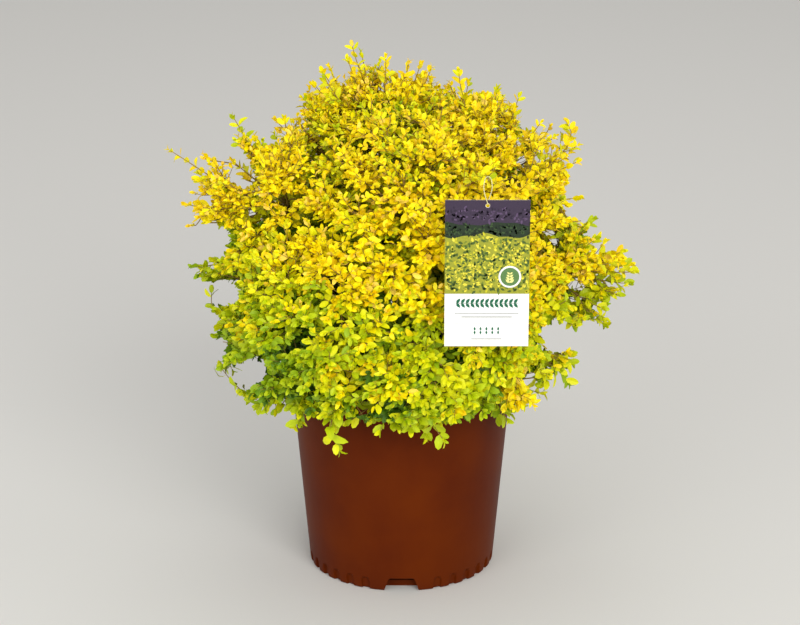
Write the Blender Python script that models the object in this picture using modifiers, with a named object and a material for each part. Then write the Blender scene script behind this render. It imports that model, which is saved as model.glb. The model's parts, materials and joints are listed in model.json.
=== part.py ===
"""A golden-leaved privet shrub in its nursery pot, with a hang tag on a loop.

The pot stands on the flat underside of its base, whose centre is the origin. Metres, +Z up, and the
front of the plant faces -Y. An azimuth is counted from the front towards +X, the plant's right.
"""

import math
import random

import bmesh
import bpy
from mathutils import Matrix, Vector
from mathutils.bvhtree import BVHTree

# Pot, a thin moulded nursery pot with a rolled rim, a raised floor and a fluted foot
POT_HEIGHT = 0.216
BASE_RADIUS = 0.100
WALL_TOP_RADIUS = 0.118
WALL = 0.0022
RIM_LIP = 0.0032
RIM_DEPTH = 0.012
RIM_ROUND = 0.0016
FOOT_ROUND = 0.0025
FLOOR = 0.0025
FLOOR_RISE = 0.004
CENTRE_PAD_RADIUS = 0.030
FOOT_RING_RADIUS = 0.080
POT_STEPS = 48
FLUTES = 30
FLUTE_WIDTH = 0.0095
FLUTE_HEIGHT = 0.0135
FLUTE_DEPTH = 0.0012
NOTCHES = 3
NOTCH_HEIGHT = 0.0135
NOTCH_FOOT_WIDTH = 0.036
NOTCH_TOP_WIDTH = 0.021
NOTCH_REACH = 0.016

# Potting mix
SOIL_TOP = 0.194
SOIL_CROWN = 0.004
SOIL_STEPS = 36
SOIL_NOTCH_GROWTH = 0.002
TOUCH = 0.0003

# Trunk and boughs
TRUNK_FLARE_RADIUS = 0.0125
TRUNK_FLARE_HEIGHT = 0.012
TRUNK_RADIUS = 0.0090
TRUNK_TIP_RADIUS = 0.0055
TRUNK_TOP = 0.292
TRUNK_LEAN = 0.004
BOUGH_FOOT_RADIUS = 0.0036
BOUGH_TIP_RADIUS = 0.0024
BOUGH_POINTS = 5
TRUNK_ROUNDNESS = 4
BOUGH_ROUNDNESS = 1
BOUGH_LEVEL_RUN = 0.012

# Foliage. A mass is a ball round its own centre, cut from its neighbours by the plane where the two
# balls meet: name, azimuth in degrees, distance from the pot's axis, height, radius, and the height
# at which its bough leaves the trunk.
MASSES = (
    ("top", -80, 0.018, 0.460, 0.100, TRUNK_TOP),
    ("upper_front", 5, 0.094, 0.412, 0.104, 0.262),
    ("upper_right", 78, 0.088, 0.418, 0.100, 0.270),
    ("upper_back_right", 145, 0.092, 0.408, 0.104, 0.260),
    ("upper_back_left", -142, 0.092, 0.405, 0.104, 0.268),
    ("upper_left", -78, 0.120, 0.402, 0.098, 0.258),
    ("front_right", 33, 0.124, 0.328, 0.100, 0.242),
    ("right", 92, 0.152, 0.325, 0.088, 0.234),
    ("back_right", 148, 0.126, 0.322, 0.102, 0.244),
    ("back_left", -152, 0.124, 0.322, 0.102, 0.232),
    ("left", -96, 0.116, 0.308, 0.094, 0.240),
    ("front_left", -32, 0.126, 0.326, 0.100, 0.236),
    ("low_front", 2, 0.118, 0.256, 0.096, 0.214),
    ("low_front_right", 58, 0.104, 0.240, 0.084, 0.220),
    ("low_back_right", 120, 0.114, 0.242, 0.090, 0.212),
    ("low_back", 180, 0.118, 0.246, 0.094, 0.220),
    ("low_back_left", -120, 0.114, 0.242, 0.092, 0.214),
    ("low_front_left", -60, 0.116, 0.246, 0.090, 0.222),
)
CORE_SHARE = 0.69
CORE_GAP = 0.0012
CORE_STEP = 0.0015
CORE_UNEVENNESS = (0.88, 1.04)
CORE_RETREAT = 0.86
CORE_RETREATS = 12
MASS_GAP = 0.0008
SEED = 11
CROWN_CENTRE = Vector((0, 0, 0.32))
CROWN_REACH = 0.32
CROWN_STEP = 0.004
BLEND = 3.0
CROWN_SPRAYS = 90
LOWEST = 0.178
SPRAY_ROOT_SHARE = 0.12
SPRAY_REACH = (0.98, 1.14)
TWIG_RADIUS = 0.0022
TWIG_TIP_RADIUS = 0.0011
STEM_RADIUS = 0.0024
STEM_LEAD = 0.007
LEAF_LENGTH = 0.040
LEAF_WIDTH_SHARE = 0.58
LEAF_THICKNESS_SHARE = 0.038
LEAF_FOLD = 0.14
LEAF_WIDEST = 0.46
LEAF_UPTURN = 0.5
LEAF_SPREAD = 0.10
LEAF_SPREAD_STEP = 0.16
LEAF_OPENING = math.radians(56)
TIP_LEAF_SHARE = 0.72
PAIR_PLACES = (0.76, 0.93)
LEAF_TRIES = 6

# Long shoots that stand out of the crown: mass, and where the shoot's tip is
SHOOTS = (
    ("top", (-0.053, 0.000, 0.575)),
    ("top", (-0.016, -0.020, 0.566)),
    ("top", (0.022, 0.020, 0.550)),
    ("top", (-0.086, 0.010, 0.545)),
    ("upper_right", (0.057, -0.030, 0.553)),
    ("upper_right", (0.124, 0.000, 0.521)),
    ("upper_right", (0.180, 0.010, 0.489)),
    ("upper_right", (0.188, -0.030, 0.455)),
    ("upper_left", (-0.247, -0.020, 0.466)),
    ("upper_left", (-0.177, -0.030, 0.507)),
    ("upper_left", (-0.231, -0.030, 0.407)),
    ("left", (-0.213, 0.000, 0.300)),
    ("low_front_left", (-0.200, -0.050, 0.232)),
    ("right", (0.254, -0.020, 0.331)),
    ("right", (0.207, 0.000, 0.387)),
    ("right", (0.216, -0.050, 0.296)),
    ("low_front_right", (0.189, -0.030, 0.234)),
    ("low_front_left", (-0.110, -0.112, 0.184)),
    ("low_front_right", (0.112, -0.110, 0.190)),
    ("low_front", (-0.072, -0.165, 0.180)),
    ("low_front", (0.046, -0.170, 0.190)),
    ("upper_back_left", (-0.060, 0.180, 0.485)),
    ("upper_back_right", (0.115, 0.180, 0.455)),
    ("back_left", (-0.130, 0.205, 0.345)),
    ("back_right", (0.150, 0.195, 0.330)),
)
SHOOT_LEAF_SHARE = 0.62
SHOOT_PAIR_PLACES = (0.60, 0.80)

# Hang tag and its loop
TAG_WIDTH = 0.082
TAG_HEIGHT = 0.1476
TAG_THICKNESS = 0.0006
TAG_CENTRE = Vector((0.0827, -0.2140, 0.3871))
TAG_HOLE_RADIUS = 0.0020
TAG_HOLE_DROP = 0.0055
TAG_KEEP = 0.004
LOOP_RADIUS = 0.0005
LOOP_HEIGHT = 0.0265
LOOP_HALF_WIDTH = 0.0042
LOOP_ROUNDNESS = 0.7
LOOP_POINTS = 24
HOOK_RADIUS = 0.0011
HOOK_SIDES = 8
HOOK_RUN = Vector((0, -0.99, 0.13)).normalized()
HOOK_LENGTH = 0.030
HOOK_OVERHANG = 0.010
HOOK_ROOT_SHARE = 0.15
HOOK_MASS = "upper_front"

POT_CLEAR_RADIUS = WALL_TOP_RADIUS + RIM_LIP + 0.003
POT_CLEAR_HEIGHT = POT_HEIGHT + 0.004
LIMB_CLEAR = 0.0015


def at(azimuth, distance, height):
    """The point at this azimuth in degrees, distance from the pot's axis and height."""
    turn = math.radians(azimuth)
    return Vector((distance * math.sin(turn), -distance * math.cos(turn), height))


def material(name, colour, roughness):
    """A Principled material of one colour."""
    made = bpy.data.materials.new(name)
    made.use_nodes = True
    shader = made.node_tree.nodes["Principled BSDF"]
    shader.inputs["Base Color"].default_value = (*colour, 1)
    shader.inputs["Roughness"].default_value = roughness
    shader.inputs["Metallic"].default_value = 0
    return made


def add_object(name, data, collection, finish=None):
    """Links an object of this mesh or curve to a collection, with its material."""
    made = bpy.data.objects.new(name, data)
    collection.objects.link(made)
    if finish is not None:
        data.materials.clear()
        data.materials.append(finish)
    return made


def mesh_object(name, bm, collection, finish=None):
    """An object of what a bmesh holds."""
    data = bpy.data.meshes.new(name)
    bm.to_mesh(data)
    bm.free()
    return add_object(name, data, collection, finish)


def frozen(source, name, collection, finish=None, weld=True):
    """The evaluated object as a plain mesh object of its own, and the source removed."""
    bpy.context.view_layer.update()
    graph = bpy.context.evaluated_depsgraph_get()
    data = bpy.data.meshes.new_from_object(source.evaluated_get(graph))
    place = source.matrix_world.copy()
    bpy.data.objects.remove(source)
    if weld:
        bm = bmesh.new()
        bm.from_mesh(data)
        bmesh.ops.remove_doubles(bm, verts=bm.verts, dist=1e-6)
        bmesh.ops.recalc_face_normals(bm, faces=bm.faces)
        bm.to_mesh(data)
        bm.free()
    made = add_object(name, data, collection, finish)
    made.matrix_world = place
    return made


def turned(name, profile, steps, collection):
    """A closed profile of (radius, height) points, turned round Z and frozen."""
    data = bpy.data.meshes.new(name + "_profile")
    points = [(radius, 0, height) for radius, height in profile]
    edges = [(i, i + 1) for i in range(len(points) - 1)]
    if profile[0][0] > 0:
        edges.append((len(points) - 1, 0))
    data.from_pydata(points, edges, [])
    lathe = add_object(name + "_lathe", data, collection)
    screw = lathe.modifiers.new("Screw", "SCREW")
    screw.steps = screw.render_steps = steps
    screw.use_merge_vertices = True
    screw.merge_threshold = 1e-5
    screw.use_smooth_shade = True
    return frozen(lathe, name, collection)


def cut(target, cutters):
    """Takes every object of the cutters' collection away from the target, and applies it."""
    boolean = target.modifiers.new("Cut", "BOOLEAN")
    boolean.operation = "DIFFERENCE"
    boolean.operand_type = "COLLECTION"
    boolean.collection = cutters
    boolean.solver = "EXACT"
    name = target.name
    collection = target.users_collection[0]
    target.name = name + "_uncut"
    return frozen(target, name, collection)


def arc(centre, radius, start, end, count):
    """Points on a round corner of a profile, from one angle to another, in degrees."""
    angles = [math.radians(start + (end - start) * i / (count - 1)) for i in range(count)]
    return [(centre[0] + radius * math.cos(a), centre[1] + radius * math.sin(a)) for a in angles]


def wall_radius(height):
    """The outer radius of the pot's wall at this height."""
    share = height / (POT_HEIGHT - RIM_DEPTH)
    return BASE_RADIUS + (WALL_TOP_RADIUS - BASE_RADIUS) * share


def pot_profile():
    """Half the pot's section, from the underside's centre round the rim to the floor's centre."""
    lip = WALL_TOP_RADIUS + RIM_LIP
    rim_foot = POT_HEIGHT - RIM_DEPTH
    rim_top = POT_HEIGHT - RIM_ROUND
    foot = arc((BASE_RADIUS - FOOT_ROUND, FOOT_ROUND), FOOT_ROUND, -90, 0, 2)
    outer_rim = arc((lip - RIM_ROUND, rim_top), RIM_ROUND, 0, 90, 2)
    inner = lip - RIM_LIP - WALL
    floor_top = FLOOR_RISE + FLOOR
    outward = [
        (0, 0),
        (CENTRE_PAD_RADIUS, 0),
        (CENTRE_PAD_RADIUS + FLOOR_RISE, FLOOR_RISE),
        (FOOT_RING_RADIUS, FLOOR_RISE),
        (FOOT_RING_RADIUS + FLOOR_RISE, 0),
        *foot,
        (WALL_TOP_RADIUS, rim_foot),
        (lip, rim_foot + RIM_LIP / 2),
        *outer_rim,
        (inner, POT_HEIGHT),
        (inner, rim_foot),
        (wall_radius(floor_top) - WALL, floor_top),
        (0, floor_top),
    ]
    return outward[::-1]


def add_cylinder(name, radius, depth, sides, place, collection):
    """A capped cylinder with its axis along local Z."""
    bm = bmesh.new()
    bmesh.ops.create_cone(
        bm, cap_ends=True, segments=sides, radius1=radius, radius2=radius, depth=depth
    )
    made = mesh_object(name, bm, collection)
    made.matrix_world = place
    return made


def flute_cutters(collection):
    """Stretched balls that cut round-topped grooves in the wall's foot, but not where a notch is."""
    step = 360 / FLUTES
    bite = FLUTE_WIDTH / 2
    # A ball of this radius cuts a groove of the flute's width at the flute's depth.
    radius = (bite * bite + FLUTE_DEPTH * FLUTE_DEPTH) / (2 * FLUTE_DEPTH)
    stretch = FLUTE_HEIGHT / bite
    for i in range(FLUTES):
        azimuth = i * step
        from_notch = (azimuth + 180 / NOTCHES) % (360 / NOTCHES) - 180 / NOTCHES
        if abs(from_notch) < 1.5 * step:
            continue
        bm = bmesh.new()
        bmesh.ops.create_uvsphere(bm, u_segments=20, v_segments=14, radius=radius)
        cutter = mesh_object("flute_cutter", bm, collection)
        centre = at(azimuth, BASE_RADIUS + radius - FLUTE_DEPTH, 0)
        turn = Matrix.Rotation(math.radians(azimuth), 4, "Z")
        cutter.matrix_world = Matrix.Translation(centre) @ turn @ Matrix.Diagonal((1, 1, stretch, 1))
        cutter.hide_render = True


def notch_cutters(collection, grow):
    """Prisms that open a drain notch through the wall and the floor's edge, grown on every side."""
    for i in range(NOTCHES):
        foot, top = NOTCH_FOOT_WIDTH / 2 + grow, NOTCH_TOP_WIDTH / 2 + grow
        outline = [
            (-foot, -NOTCH_HEIGHT / 2),
            (foot, -NOTCH_HEIGHT / 2),
            (foot, 0),
            (top, NOTCH_HEIGHT + grow),
            (-top, NOTCH_HEIGHT + grow),
            (-foot, 0),
        ]
        data = bpy.data.curves.new("notch_outline", "CURVE")
        data.dimensions = "2D"
        data.fill_mode = "BOTH"
        data.extrude = NOTCH_REACH + grow
        spline = data.splines.new("POLY")
        spline.points.add(len(outline) - 1)
        for point, (x, y) in zip(spline.points, outline):
            point.co = (x, y, 0, 1)
        spline.use_cyclic_u = True
        flat = add_object("notch_curve", data, collection)
        upright = Matrix.Rotation(math.radians(90), 4, "X")
        turn = Matrix.Rotation(math.radians(360 / NOTCHES * i), 4, "Z")
        flat.matrix_world = turn @ Matrix.Translation((0, -BASE_RADIUS, 0)) @ upright
        frozen(flat, "notch_cutter", collection).hide_render = True


def make_pot(collection, finish):
    """The pot: a turned shell, cut by its flutes and drain notches."""
    pot = turned("pot", pot_profile(), POT_STEPS, collection)
    cutters = new_collection("pot_cutters")
    flute_cutters(cutters)
    notch_cutters(cutters, 0)
    pot = cut(pot, cutters)
    clear(cutters)
    pot.data.materials.append(finish)
    return pot


def make_soil(collection, finish):
    """The potting mix that fills the pot, hollowed behind each drain notch."""
    floor_top = FLOOR_RISE + FLOOR + TOUCH
    foot = wall_radius(floor_top) - WALL - TOUCH
    brim = wall_radius(SOIL_TOP) - WALL - TOUCH
    profile = [
        (0, SOIL_TOP + SOIL_CROWN),
        (brim * 0.55, SOIL_TOP + SOIL_CROWN * 0.6),
        (brim, SOIL_TOP),
        (foot, floor_top),
        (0, floor_top),
    ]
    soil = turned("soil", profile, SOIL_STEPS, collection)
    cutters = new_collection("soil_cutters")
    notch_cutters(cutters, SOIL_NOTCH_GROWTH)
    soil = cut(soil, cutters)
    clear(cutters)
    soil.data.materials.append(finish)
    return soil


def new_collection(name):
    """A collection of this name in the scene."""
    made = bpy.data.collections.new(name)
    bpy.context.scene.collection.children.link(made)
    return made


def clear(collection):
    """Removes a collection of helpers and every object in it."""
    for helper in list(collection.objects):
        bpy.data.objects.remove(helper)
    bpy.data.collections.remove(collection)


def bezier(start, control, end, count):
    """Points along a quadratic curve."""
    points = []
    for i in range(count):
        t = i / (count - 1)
        points.append(start * (1 - t) ** 2 + control * 2 * t * (1 - t) + end * t**2)
    return points


def add_limb(name, points, radii, collection, finish, roundness):
    """A tapering tube along these points, as a closed mesh."""
    data = bpy.data.curves.new(name, "CURVE")
    data.dimensions = "3D"
    data.bevel_depth = 1
    data.bevel_resolution = roundness
    data.use_fill_caps = True
    data.twist_mode = "MINIMUM"
    spline = data.splines.new("POLY")
    spline.points.add(len(points) - 1)
    for handle, point, radius in zip(spline.points, points, radii):
        handle.co = (*point, 1)
        handle.radius = radius
    return frozen(add_object(name + "_curve", data, collection), name, collection, finish)


def add_twig(points, radii, collection, sides=3):
    """A tapering twig: one capped cone for each straight run, which overlap at the bends."""
    for a, b, foot, tip in zip(points, points[1:], radii, radii[1:]):
        run = b - a
        bm = bmesh.new()
        bmesh.ops.create_cone(
            bm, cap_ends=True, segments=sides, radius1=foot, radius2=tip, depth=run.length + 2 * tip
        )
        twig = mesh_object("twig", bm, collection)
        turn = run.to_track_quat("Z", "X").to_matrix().to_4x4()
        twig.matrix_world = Matrix.Translation((a + b) / 2 + run.normalized() * tip) @ turn


def trunk_radius(height):
    """The trunk's radius at this height, with its root flare at the soil."""
    foot = SOIL_TOP + SOIL_CROWN
    share = (height - foot) / (TRUNK_TOP - foot)
    taper = TRUNK_RADIUS + (TRUNK_TIP_RADIUS - TRUNK_RADIUS) * share
    flare = (TRUNK_FLARE_RADIUS - TRUNK_RADIUS) * max(0, 1 - (height - foot) / TRUNK_FLARE_HEIGHT) ** 2
    return taper + flare


def trunk_centre(height):
    """The trunk's axis at this height: it leans a little to the left."""
    foot = SOIL_TOP + SOIL_CROWN
    share = (height - foot) / (TRUNK_TOP - foot)
    return Vector((-TRUNK_LEAN * share, 0, height))


def make_trunk(collection, finish):
    """The short stem under the crown, from its flat foot on the mix to its fork."""
    foot = SOIL_TOP + SOIL_CROWN + TOUCH
    heights = [foot + TRUNK_FLARE_HEIGHT * i / 4 for i in range(5)]
    heights += [heights[-1] + (TRUNK_TOP - heights[-1]) * i / 3 for i in (1, 2, 3)]
    points = [trunk_centre(h) for h in heights]
    radii = [trunk_radius(h) for h in heights]
    return add_limb("trunk", points, radii, collection, finish, TRUNK_ROUNDNESS)


class Mass:
    """One mass of foliage: its ball, the planes that part it from the others, and its bough."""

    def __init__(self, name, azimuth, distance, height, radius, fork):
        self.name = name
        self.centre = at(azimuth, distance, height)
        self.radius = radius
        self.fork = fork
        self.planes = []
        self.leaves = []
        self.sprays = []

    def part_from(self, others):
        """Finds the plane between this ball and each other one."""
        for other in others:
            if other is not self:
                way = other.centre - self.centre
                apart = way.length
                share = (apart**2 + self.radius**2 - other.radius**2) / (2 * apart)
                self.planes.append((way / apart, share))

    def depth(self, point):
        """How far a point lies inside this mass's own space, below zero outside it."""
        offset = point - self.centre
        return min(share - offset.dot(normal) for normal, share in self.planes)

    def bough_points(self):
        """The bough's path: level out of the trunk, then up in a curve towards the mass."""
        fork = trunk_centre(self.fork)
        entry = self.entry()
        if self.fork >= TRUNK_TOP:
            start = fork + Vector((0, 0, TOUCH))
            control = start + Vector((0, 0, BOUGH_LEVEL_RUN * 2))
            return bezier(start, control, entry, BOUGH_POINTS)
        outward = Vector((self.centre.x - fork.x, self.centre.y - fork.y, 0)).normalized()
        start = fork + outward * (trunk_radius(self.fork) + TOUCH)
        level = start + outward * BOUGH_LEVEL_RUN / 2
        control = start + outward * BOUGH_LEVEL_RUN * 2
        return [start, *bezier(level, control, entry, BOUGH_POINTS - 1)]

    def entry(self):
        """Where the bough ends and the mass's own stem begins."""
        fork = trunk_centre(self.fork)
        inward = (fork - self.centre).normalized()
        return self.centre + inward * self.radius * (CORE_SHARE + 0.02)

    def stem_points(self):
        """The mass's stem: from just clear of its bough's tip to its centre."""
        path = self.bough_points()
        onward = (path[-1] - path[-2]).normalized()
        return [path[-1] + onward * TOUCH, path[-1] + onward * STEM_LEAD, self.centre]


def limb_segments(paths):
    """Every straight run of the limbs, with the radius at its thicker end."""
    runs = []
    for points, radii in paths:
        runs += [(a, b, max(r)) for a, b, r in zip(points, points[1:], zip(radii, radii[1:]))]
    return runs


def distance_to_run(point, start, end):
    """The distance from a point to a straight run."""
    run = end - start
    share = max(0.0, min(1.0, (point - start).dot(run) / run.length_squared))
    return (point - (start + run * share)).length


def tag_is_near(point):
    """True in the space that the tag and its loop need, and in front of them."""
    across, out, up = point - TAG_CENTRE
    beside = TAG_WIDTH / 2 + TAG_KEEP
    on_tag = abs(across) < beside and abs(up) < TAG_HEIGHT / 2 + TAG_KEEP
    loop_top = TAG_HEIGHT / 2 + LOOP_HEIGHT + TAG_KEEP
    on_loop = abs(across) < LOOP_HALF_WIDTH + TAG_KEEP and 0 < up < loop_top
    return out < TAG_KEEP and on_tag or out < 2 * TAG_KEEP and on_loop


def pot_is_near(point):
    """True inside the pot and close round it."""
    return math.hypot(point.x, point.y) < POT_CLEAR_RADIUS and point.z < POT_CLEAR_HEIGHT


def free(mass, point, gap):
    """True if a point lies in the mass's own space, clear of the pot, tag and limbs."""
    if mass.depth(point) < gap or point.z < LOWEST or pot_is_near(point) or tag_is_near(point):
        return False
    return all(distance_to_run(point, a, b) > r + LIMB_CLEAR + gap for a, b, r in limb_runs)


def density(point):
    """How thick the crown is at a point: 1 on the outside of a lone ball, more where balls meet."""
    total = 0
    for mass in all_masses:
        total += math.exp(BLEND * (1 - (point - mass.centre).length_squared / mass.radius**2))
    return total


def core_reach(mass, way, share):
    """How far the core may reach along a heading, up to this share of a lone ball's radius."""
    thick = math.exp(BLEND * (1 - share**2))
    walked = CORE_STEP
    while walked < mass.radius:
        point = mass.centre + way * walked
        if density(point) < thick or not free(mass, point, CORE_GAP):
            break
        walked += CORE_STEP
    return walked - CORE_STEP


def add_core(mass, collection):
    """The dense heart of a mass: a coarse ball, drawn in wherever something is in its way."""
    bm = bmesh.new()
    bmesh.ops.create_icosphere(bm, subdivisions=2, radius=1)
    rng = random.Random(mass.name)
    for vertex in bm.verts:
        way = vertex.co.normalized()
        vertex.co = way * core_reach(mass, way, CORE_SHARE * rng.uniform(*CORE_UNEVENNESS))
    bmesh.ops.triangulate(bm, faces=bm.faces)
    for _ in range(CORE_RETREATS):
        bm.verts.ensure_lookup_table()
        bm.faces.ensure_lookup_table()
        placed = [v.co + mass.centre for v in bm.verts]
        faces = [[v.index for v in face.verts] for face in bm.faces]
        struck = {i for i, _ in BVHTree.FromPolygons(placed, faces).overlap(solid_tree)}
        if not struck:
            break
        for vertex in {v for i in struck for v in bm.faces[i].verts}:
            vertex.co *= CORE_RETREAT
    core = mesh_object("core", bm, collection)
    core.matrix_world = Matrix.Translation(mass.centre)
    return core


def leaf_mesh(length):
    """An eight-faced leaf along +X from its root, folded up a little along its midrib."""
    width = length * LEAF_WIDTH_SHARE
    thickness = length * LEAF_THICKNESS_SHARE
    bm = bmesh.new()
    bmesh.ops.create_uvsphere(bm, u_segments=4, v_segments=2, radius=1)
    bmesh.ops.rotate(bm, verts=bm.verts, matrix=Matrix.Rotation(math.radians(90), 3, "Y"))
    for vertex in bm.verts:
        along, across, up = vertex.co
        fold = abs(across) * width * LEAF_FOLD
        # The widest place lies a little nearer the root than the tip.
        middle = LEAF_WIDEST if abs(along) < 0.5 else (along + 1) / 2
        vertex.co = (middle * length, across * width / 2, up * thickness / 2 + fold)
    bmesh.ops.recalc_face_normals(bm, faces=bm.faces)
    data = bpy.data.meshes.new("leaf")
    bm.to_mesh(data)
    bm.free()
    return data


def leaf_place(root, way, face):
    """The matrix that lays a leaf along a heading with its upper face turned to another."""
    along = way.normalized()
    up = face - along * face.dot(along)
    up = up.normalized() if up.length > 1e-4 else along.orthogonal().normalized()
    side = up.cross(along)
    turn = Matrix((along, side, up)).transposed().to_4x4()
    return Matrix.Translation(root) @ turn


def leaf_fits(mass, data, place):
    """True if the whole leaf keeps to the mass's own space and strikes nothing."""
    corners = [place @ v.co for v in data.vertices]
    samples = corners + [(a + b) / 2 for a in corners for b in corners[:2]]
    if not all(free(mass, p, MASS_GAP) for p in samples):
        return False
    faces = [list(face.vertices) for face in data.polygons]
    blade = BVHTree.FromPolygons(corners, faces)
    return not any(blade.overlap(other) for other in (solid_tree, *mass.leaves))


def add_leaf(mass, data, root, way, rng, collection):
    """Adds one leaf, turned a little at each try until it fits, or leaves it out."""
    for attempt in range(LEAF_TRIES):
        spread = LEAF_SPREAD + LEAF_SPREAD_STEP * attempt
        tried = way + Vector([rng.gauss(0, spread) for _ in range(3)])
        face = (root - mass.centre).normalized() + Vector((0, 0, LEAF_UPTURN))
        place = leaf_place(root, tried, face)
        if leaf_fits(mass, data, place):
            leaf = add_object("leaf", data, collection)
            leaf.matrix_world = place
            mass.leaves.append(tree_of([leaf]))
            return True
    return False


def add_spray(mass, run, leaf_size, places, rng, collection):
    """A twig that reaches along a run from the mass's centre, with pairs of leaves and a tip leaf.

    Returns how many leaves it holds.
    """
    way = run.normalized()
    root = mass.centre + way * mass.radius * SPRAY_ROOT_SHARE
    tip = mass.centre + way * (run.length - leaf_size * TIP_LEAF_SHARE)
    if not all(free(mass, root.lerp(tip, i / 6), TWIG_RADIUS) for i in range(7)):
        return 0
    add_twig([root, tip], [TWIG_RADIUS, TWIG_TIP_RADIUS], collection)
    side_leaf = leaf_mesh(leaf_size)
    tip_leaf = leaf_mesh(leaf_size * TIP_LEAF_SHARE)
    count = 0
    turn = rng.uniform(0, math.pi)
    for number, place in enumerate(places):
        node = root.lerp(tip, place)
        side = Matrix.Rotation(turn + number * math.pi / 2, 3, way) @ way.orthogonal().normalized()
        for sign in (-1, 1):
            out = way * math.cos(LEAF_OPENING) + side * sign * math.sin(LEAF_OPENING)
            foot = node + side * sign * TWIG_TIP_RADIUS * 0.3
            count += add_leaf(mass, side_leaf, foot, out, rng, collection)
    foot = tip - way * TWIG_TIP_RADIUS
    count += add_leaf(mass, tip_leaf, foot, way, rng, collection)
    return count


def even_headings(count):
    """Evenly spread unit vectors all round a point."""
    golden = math.pi * (3 - math.sqrt(5))
    found = []
    for i in range(count):
        rise = 1 - 2 * (i + 0.5) / count
        level = math.sqrt(1 - rise * rise)
        found.append(Vector((level * math.cos(i * golden), level * math.sin(i * golden), rise)))
    return found


def crown_surface(way):
    """The outermost point of the crown along a heading from its centre."""
    reach = CROWN_REACH
    while density(CROWN_CENTRE + way * reach) < 1:
        reach -= CROWN_STEP
    return CROWN_CENTRE + way * reach


def deal_sprays():
    """Gives each mass the sprays that reach the crown's surface inside its own space."""
    for way in even_headings(CROWN_SPRAYS):
        point = crown_surface(way)
        owner = max(all_masses, key=lambda mass: mass.depth(point))
        if not pot_is_near(point):
            owner.sprays.append(point - owner.centre)


def hook_points(mass):
    """The twig that the tag hangs from: out of its mass, then forward over the loop's seat."""
    seat = TAG_CENTRE + Vector((0, 0, TAG_HEIGHT / 2 - TAG_HOLE_DROP + LOOP_HEIGHT))
    inner = seat - HOOK_RUN * HOOK_LENGTH
    return [mass.centre.lerp(inner, HOOK_ROOT_SHARE), inner, seat + HOOK_RUN * HOOK_OVERHANG]


def build_mass(mass, collection, finish):
    """One mass of foliage, fused from its core, stem, twigs and leaves. Returns its leaf count."""
    scraps = new_collection("scraps_" + mass.name)
    rng = random.Random(f"{SEED} {mass.name}")
    core = add_core(mass, scraps)
    add_twig(mass.stem_points(), [STEM_RADIUS, STEM_RADIUS, STEM_RADIUS], scraps)
    if mass.name == HOOK_MASS:
        add_twig(hook_points(mass), [TWIG_RADIUS, HOOK_RADIUS, HOOK_RADIUS], scraps, HOOK_SIDES)
    count = 0
    for run in mass.sprays:
        count += add_spray(mass, run * rng.uniform(*SPRAY_REACH), LEAF_LENGTH, PAIR_PLACES, rng, scraps)
    for name, tip in SHOOTS:
        if name == mass.name:
            run = Vector(tip) - mass.centre
            size = LEAF_LENGTH * SHOOT_LEAF_SHARE
            count += add_spray(mass, run, size, SHOOT_PAIR_PLACES, rng, scraps)
    fuse(core, scraps, "foliage_" + mass.name, collection, finish)
    return count


def fuse(core, scraps, name, collection, finish):
    """Joins everything in a collection of scraps into the core, and drops any loose scrap."""
    bpy.context.scene.collection.objects.link(core)
    scraps.objects.unlink(core)
    join = core.modifiers.new("Join", "BOOLEAN")
    join.operation = "UNION"
    join.operand_type = "COLLECTION"
    join.collection = scraps
    join.solver = "MANIFOLD"
    made = frozen(core, name, collection, weld=False)
    clear(scraps)
    keep_largest_body(made.data)
    made.data.materials.clear()
    made.data.materials.append(finish)


def keep_largest_body(data):
    """Removes every body of a mesh but the one with the most faces."""
    bm = bmesh.new()
    bm.from_mesh(data)
    left = set(bm.faces)
    bodies = []
    while left:
        body, edge_of_search = set(), [left.pop()]
        while edge_of_search:
            face = edge_of_search.pop()
            body.add(face)
            for edge in face.edges:
                for near in edge.link_faces:
                    if near in left:
                        left.discard(near)
                        edge_of_search.append(near)
        bodies.append(body)
    bodies.sort(key=len, reverse=True)
    scraps = [face for body in bodies[1:] for face in body]
    bmesh.ops.delete(bm, geom=scraps, context="FACES")
    bmesh.ops.triangulate(bm, faces=bm.faces)
    bm.to_mesh(data)
    bm.free()


def make_tag(collection, finish):
    """The hang tag: a thin card with a punched hole near its top edge."""
    bm = bmesh.new()
    bmesh.ops.create_cube(bm, size=1)
    bmesh.ops.scale(bm, verts=bm.verts, vec=(TAG_WIDTH, TAG_THICKNESS, TAG_HEIGHT))
    tag = mesh_object("hang_tag", bm, collection)
    place = Matrix.Translation(TAG_CENTRE)
    tag.matrix_world = place
    punch = new_collection("tag_punch")
    hole = Matrix.Translation((0, 0, TAG_HEIGHT / 2 - TAG_HOLE_DROP))
    across = Matrix.Rotation(math.radians(90), 4, "X")
    add_cylinder("punch", TAG_HOLE_RADIUS, 0.01, 16, place @ hole @ across, punch)
    tag = cut(tag, punch)
    clear(punch)
    tag.data.materials.append(finish)
    return tag


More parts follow.
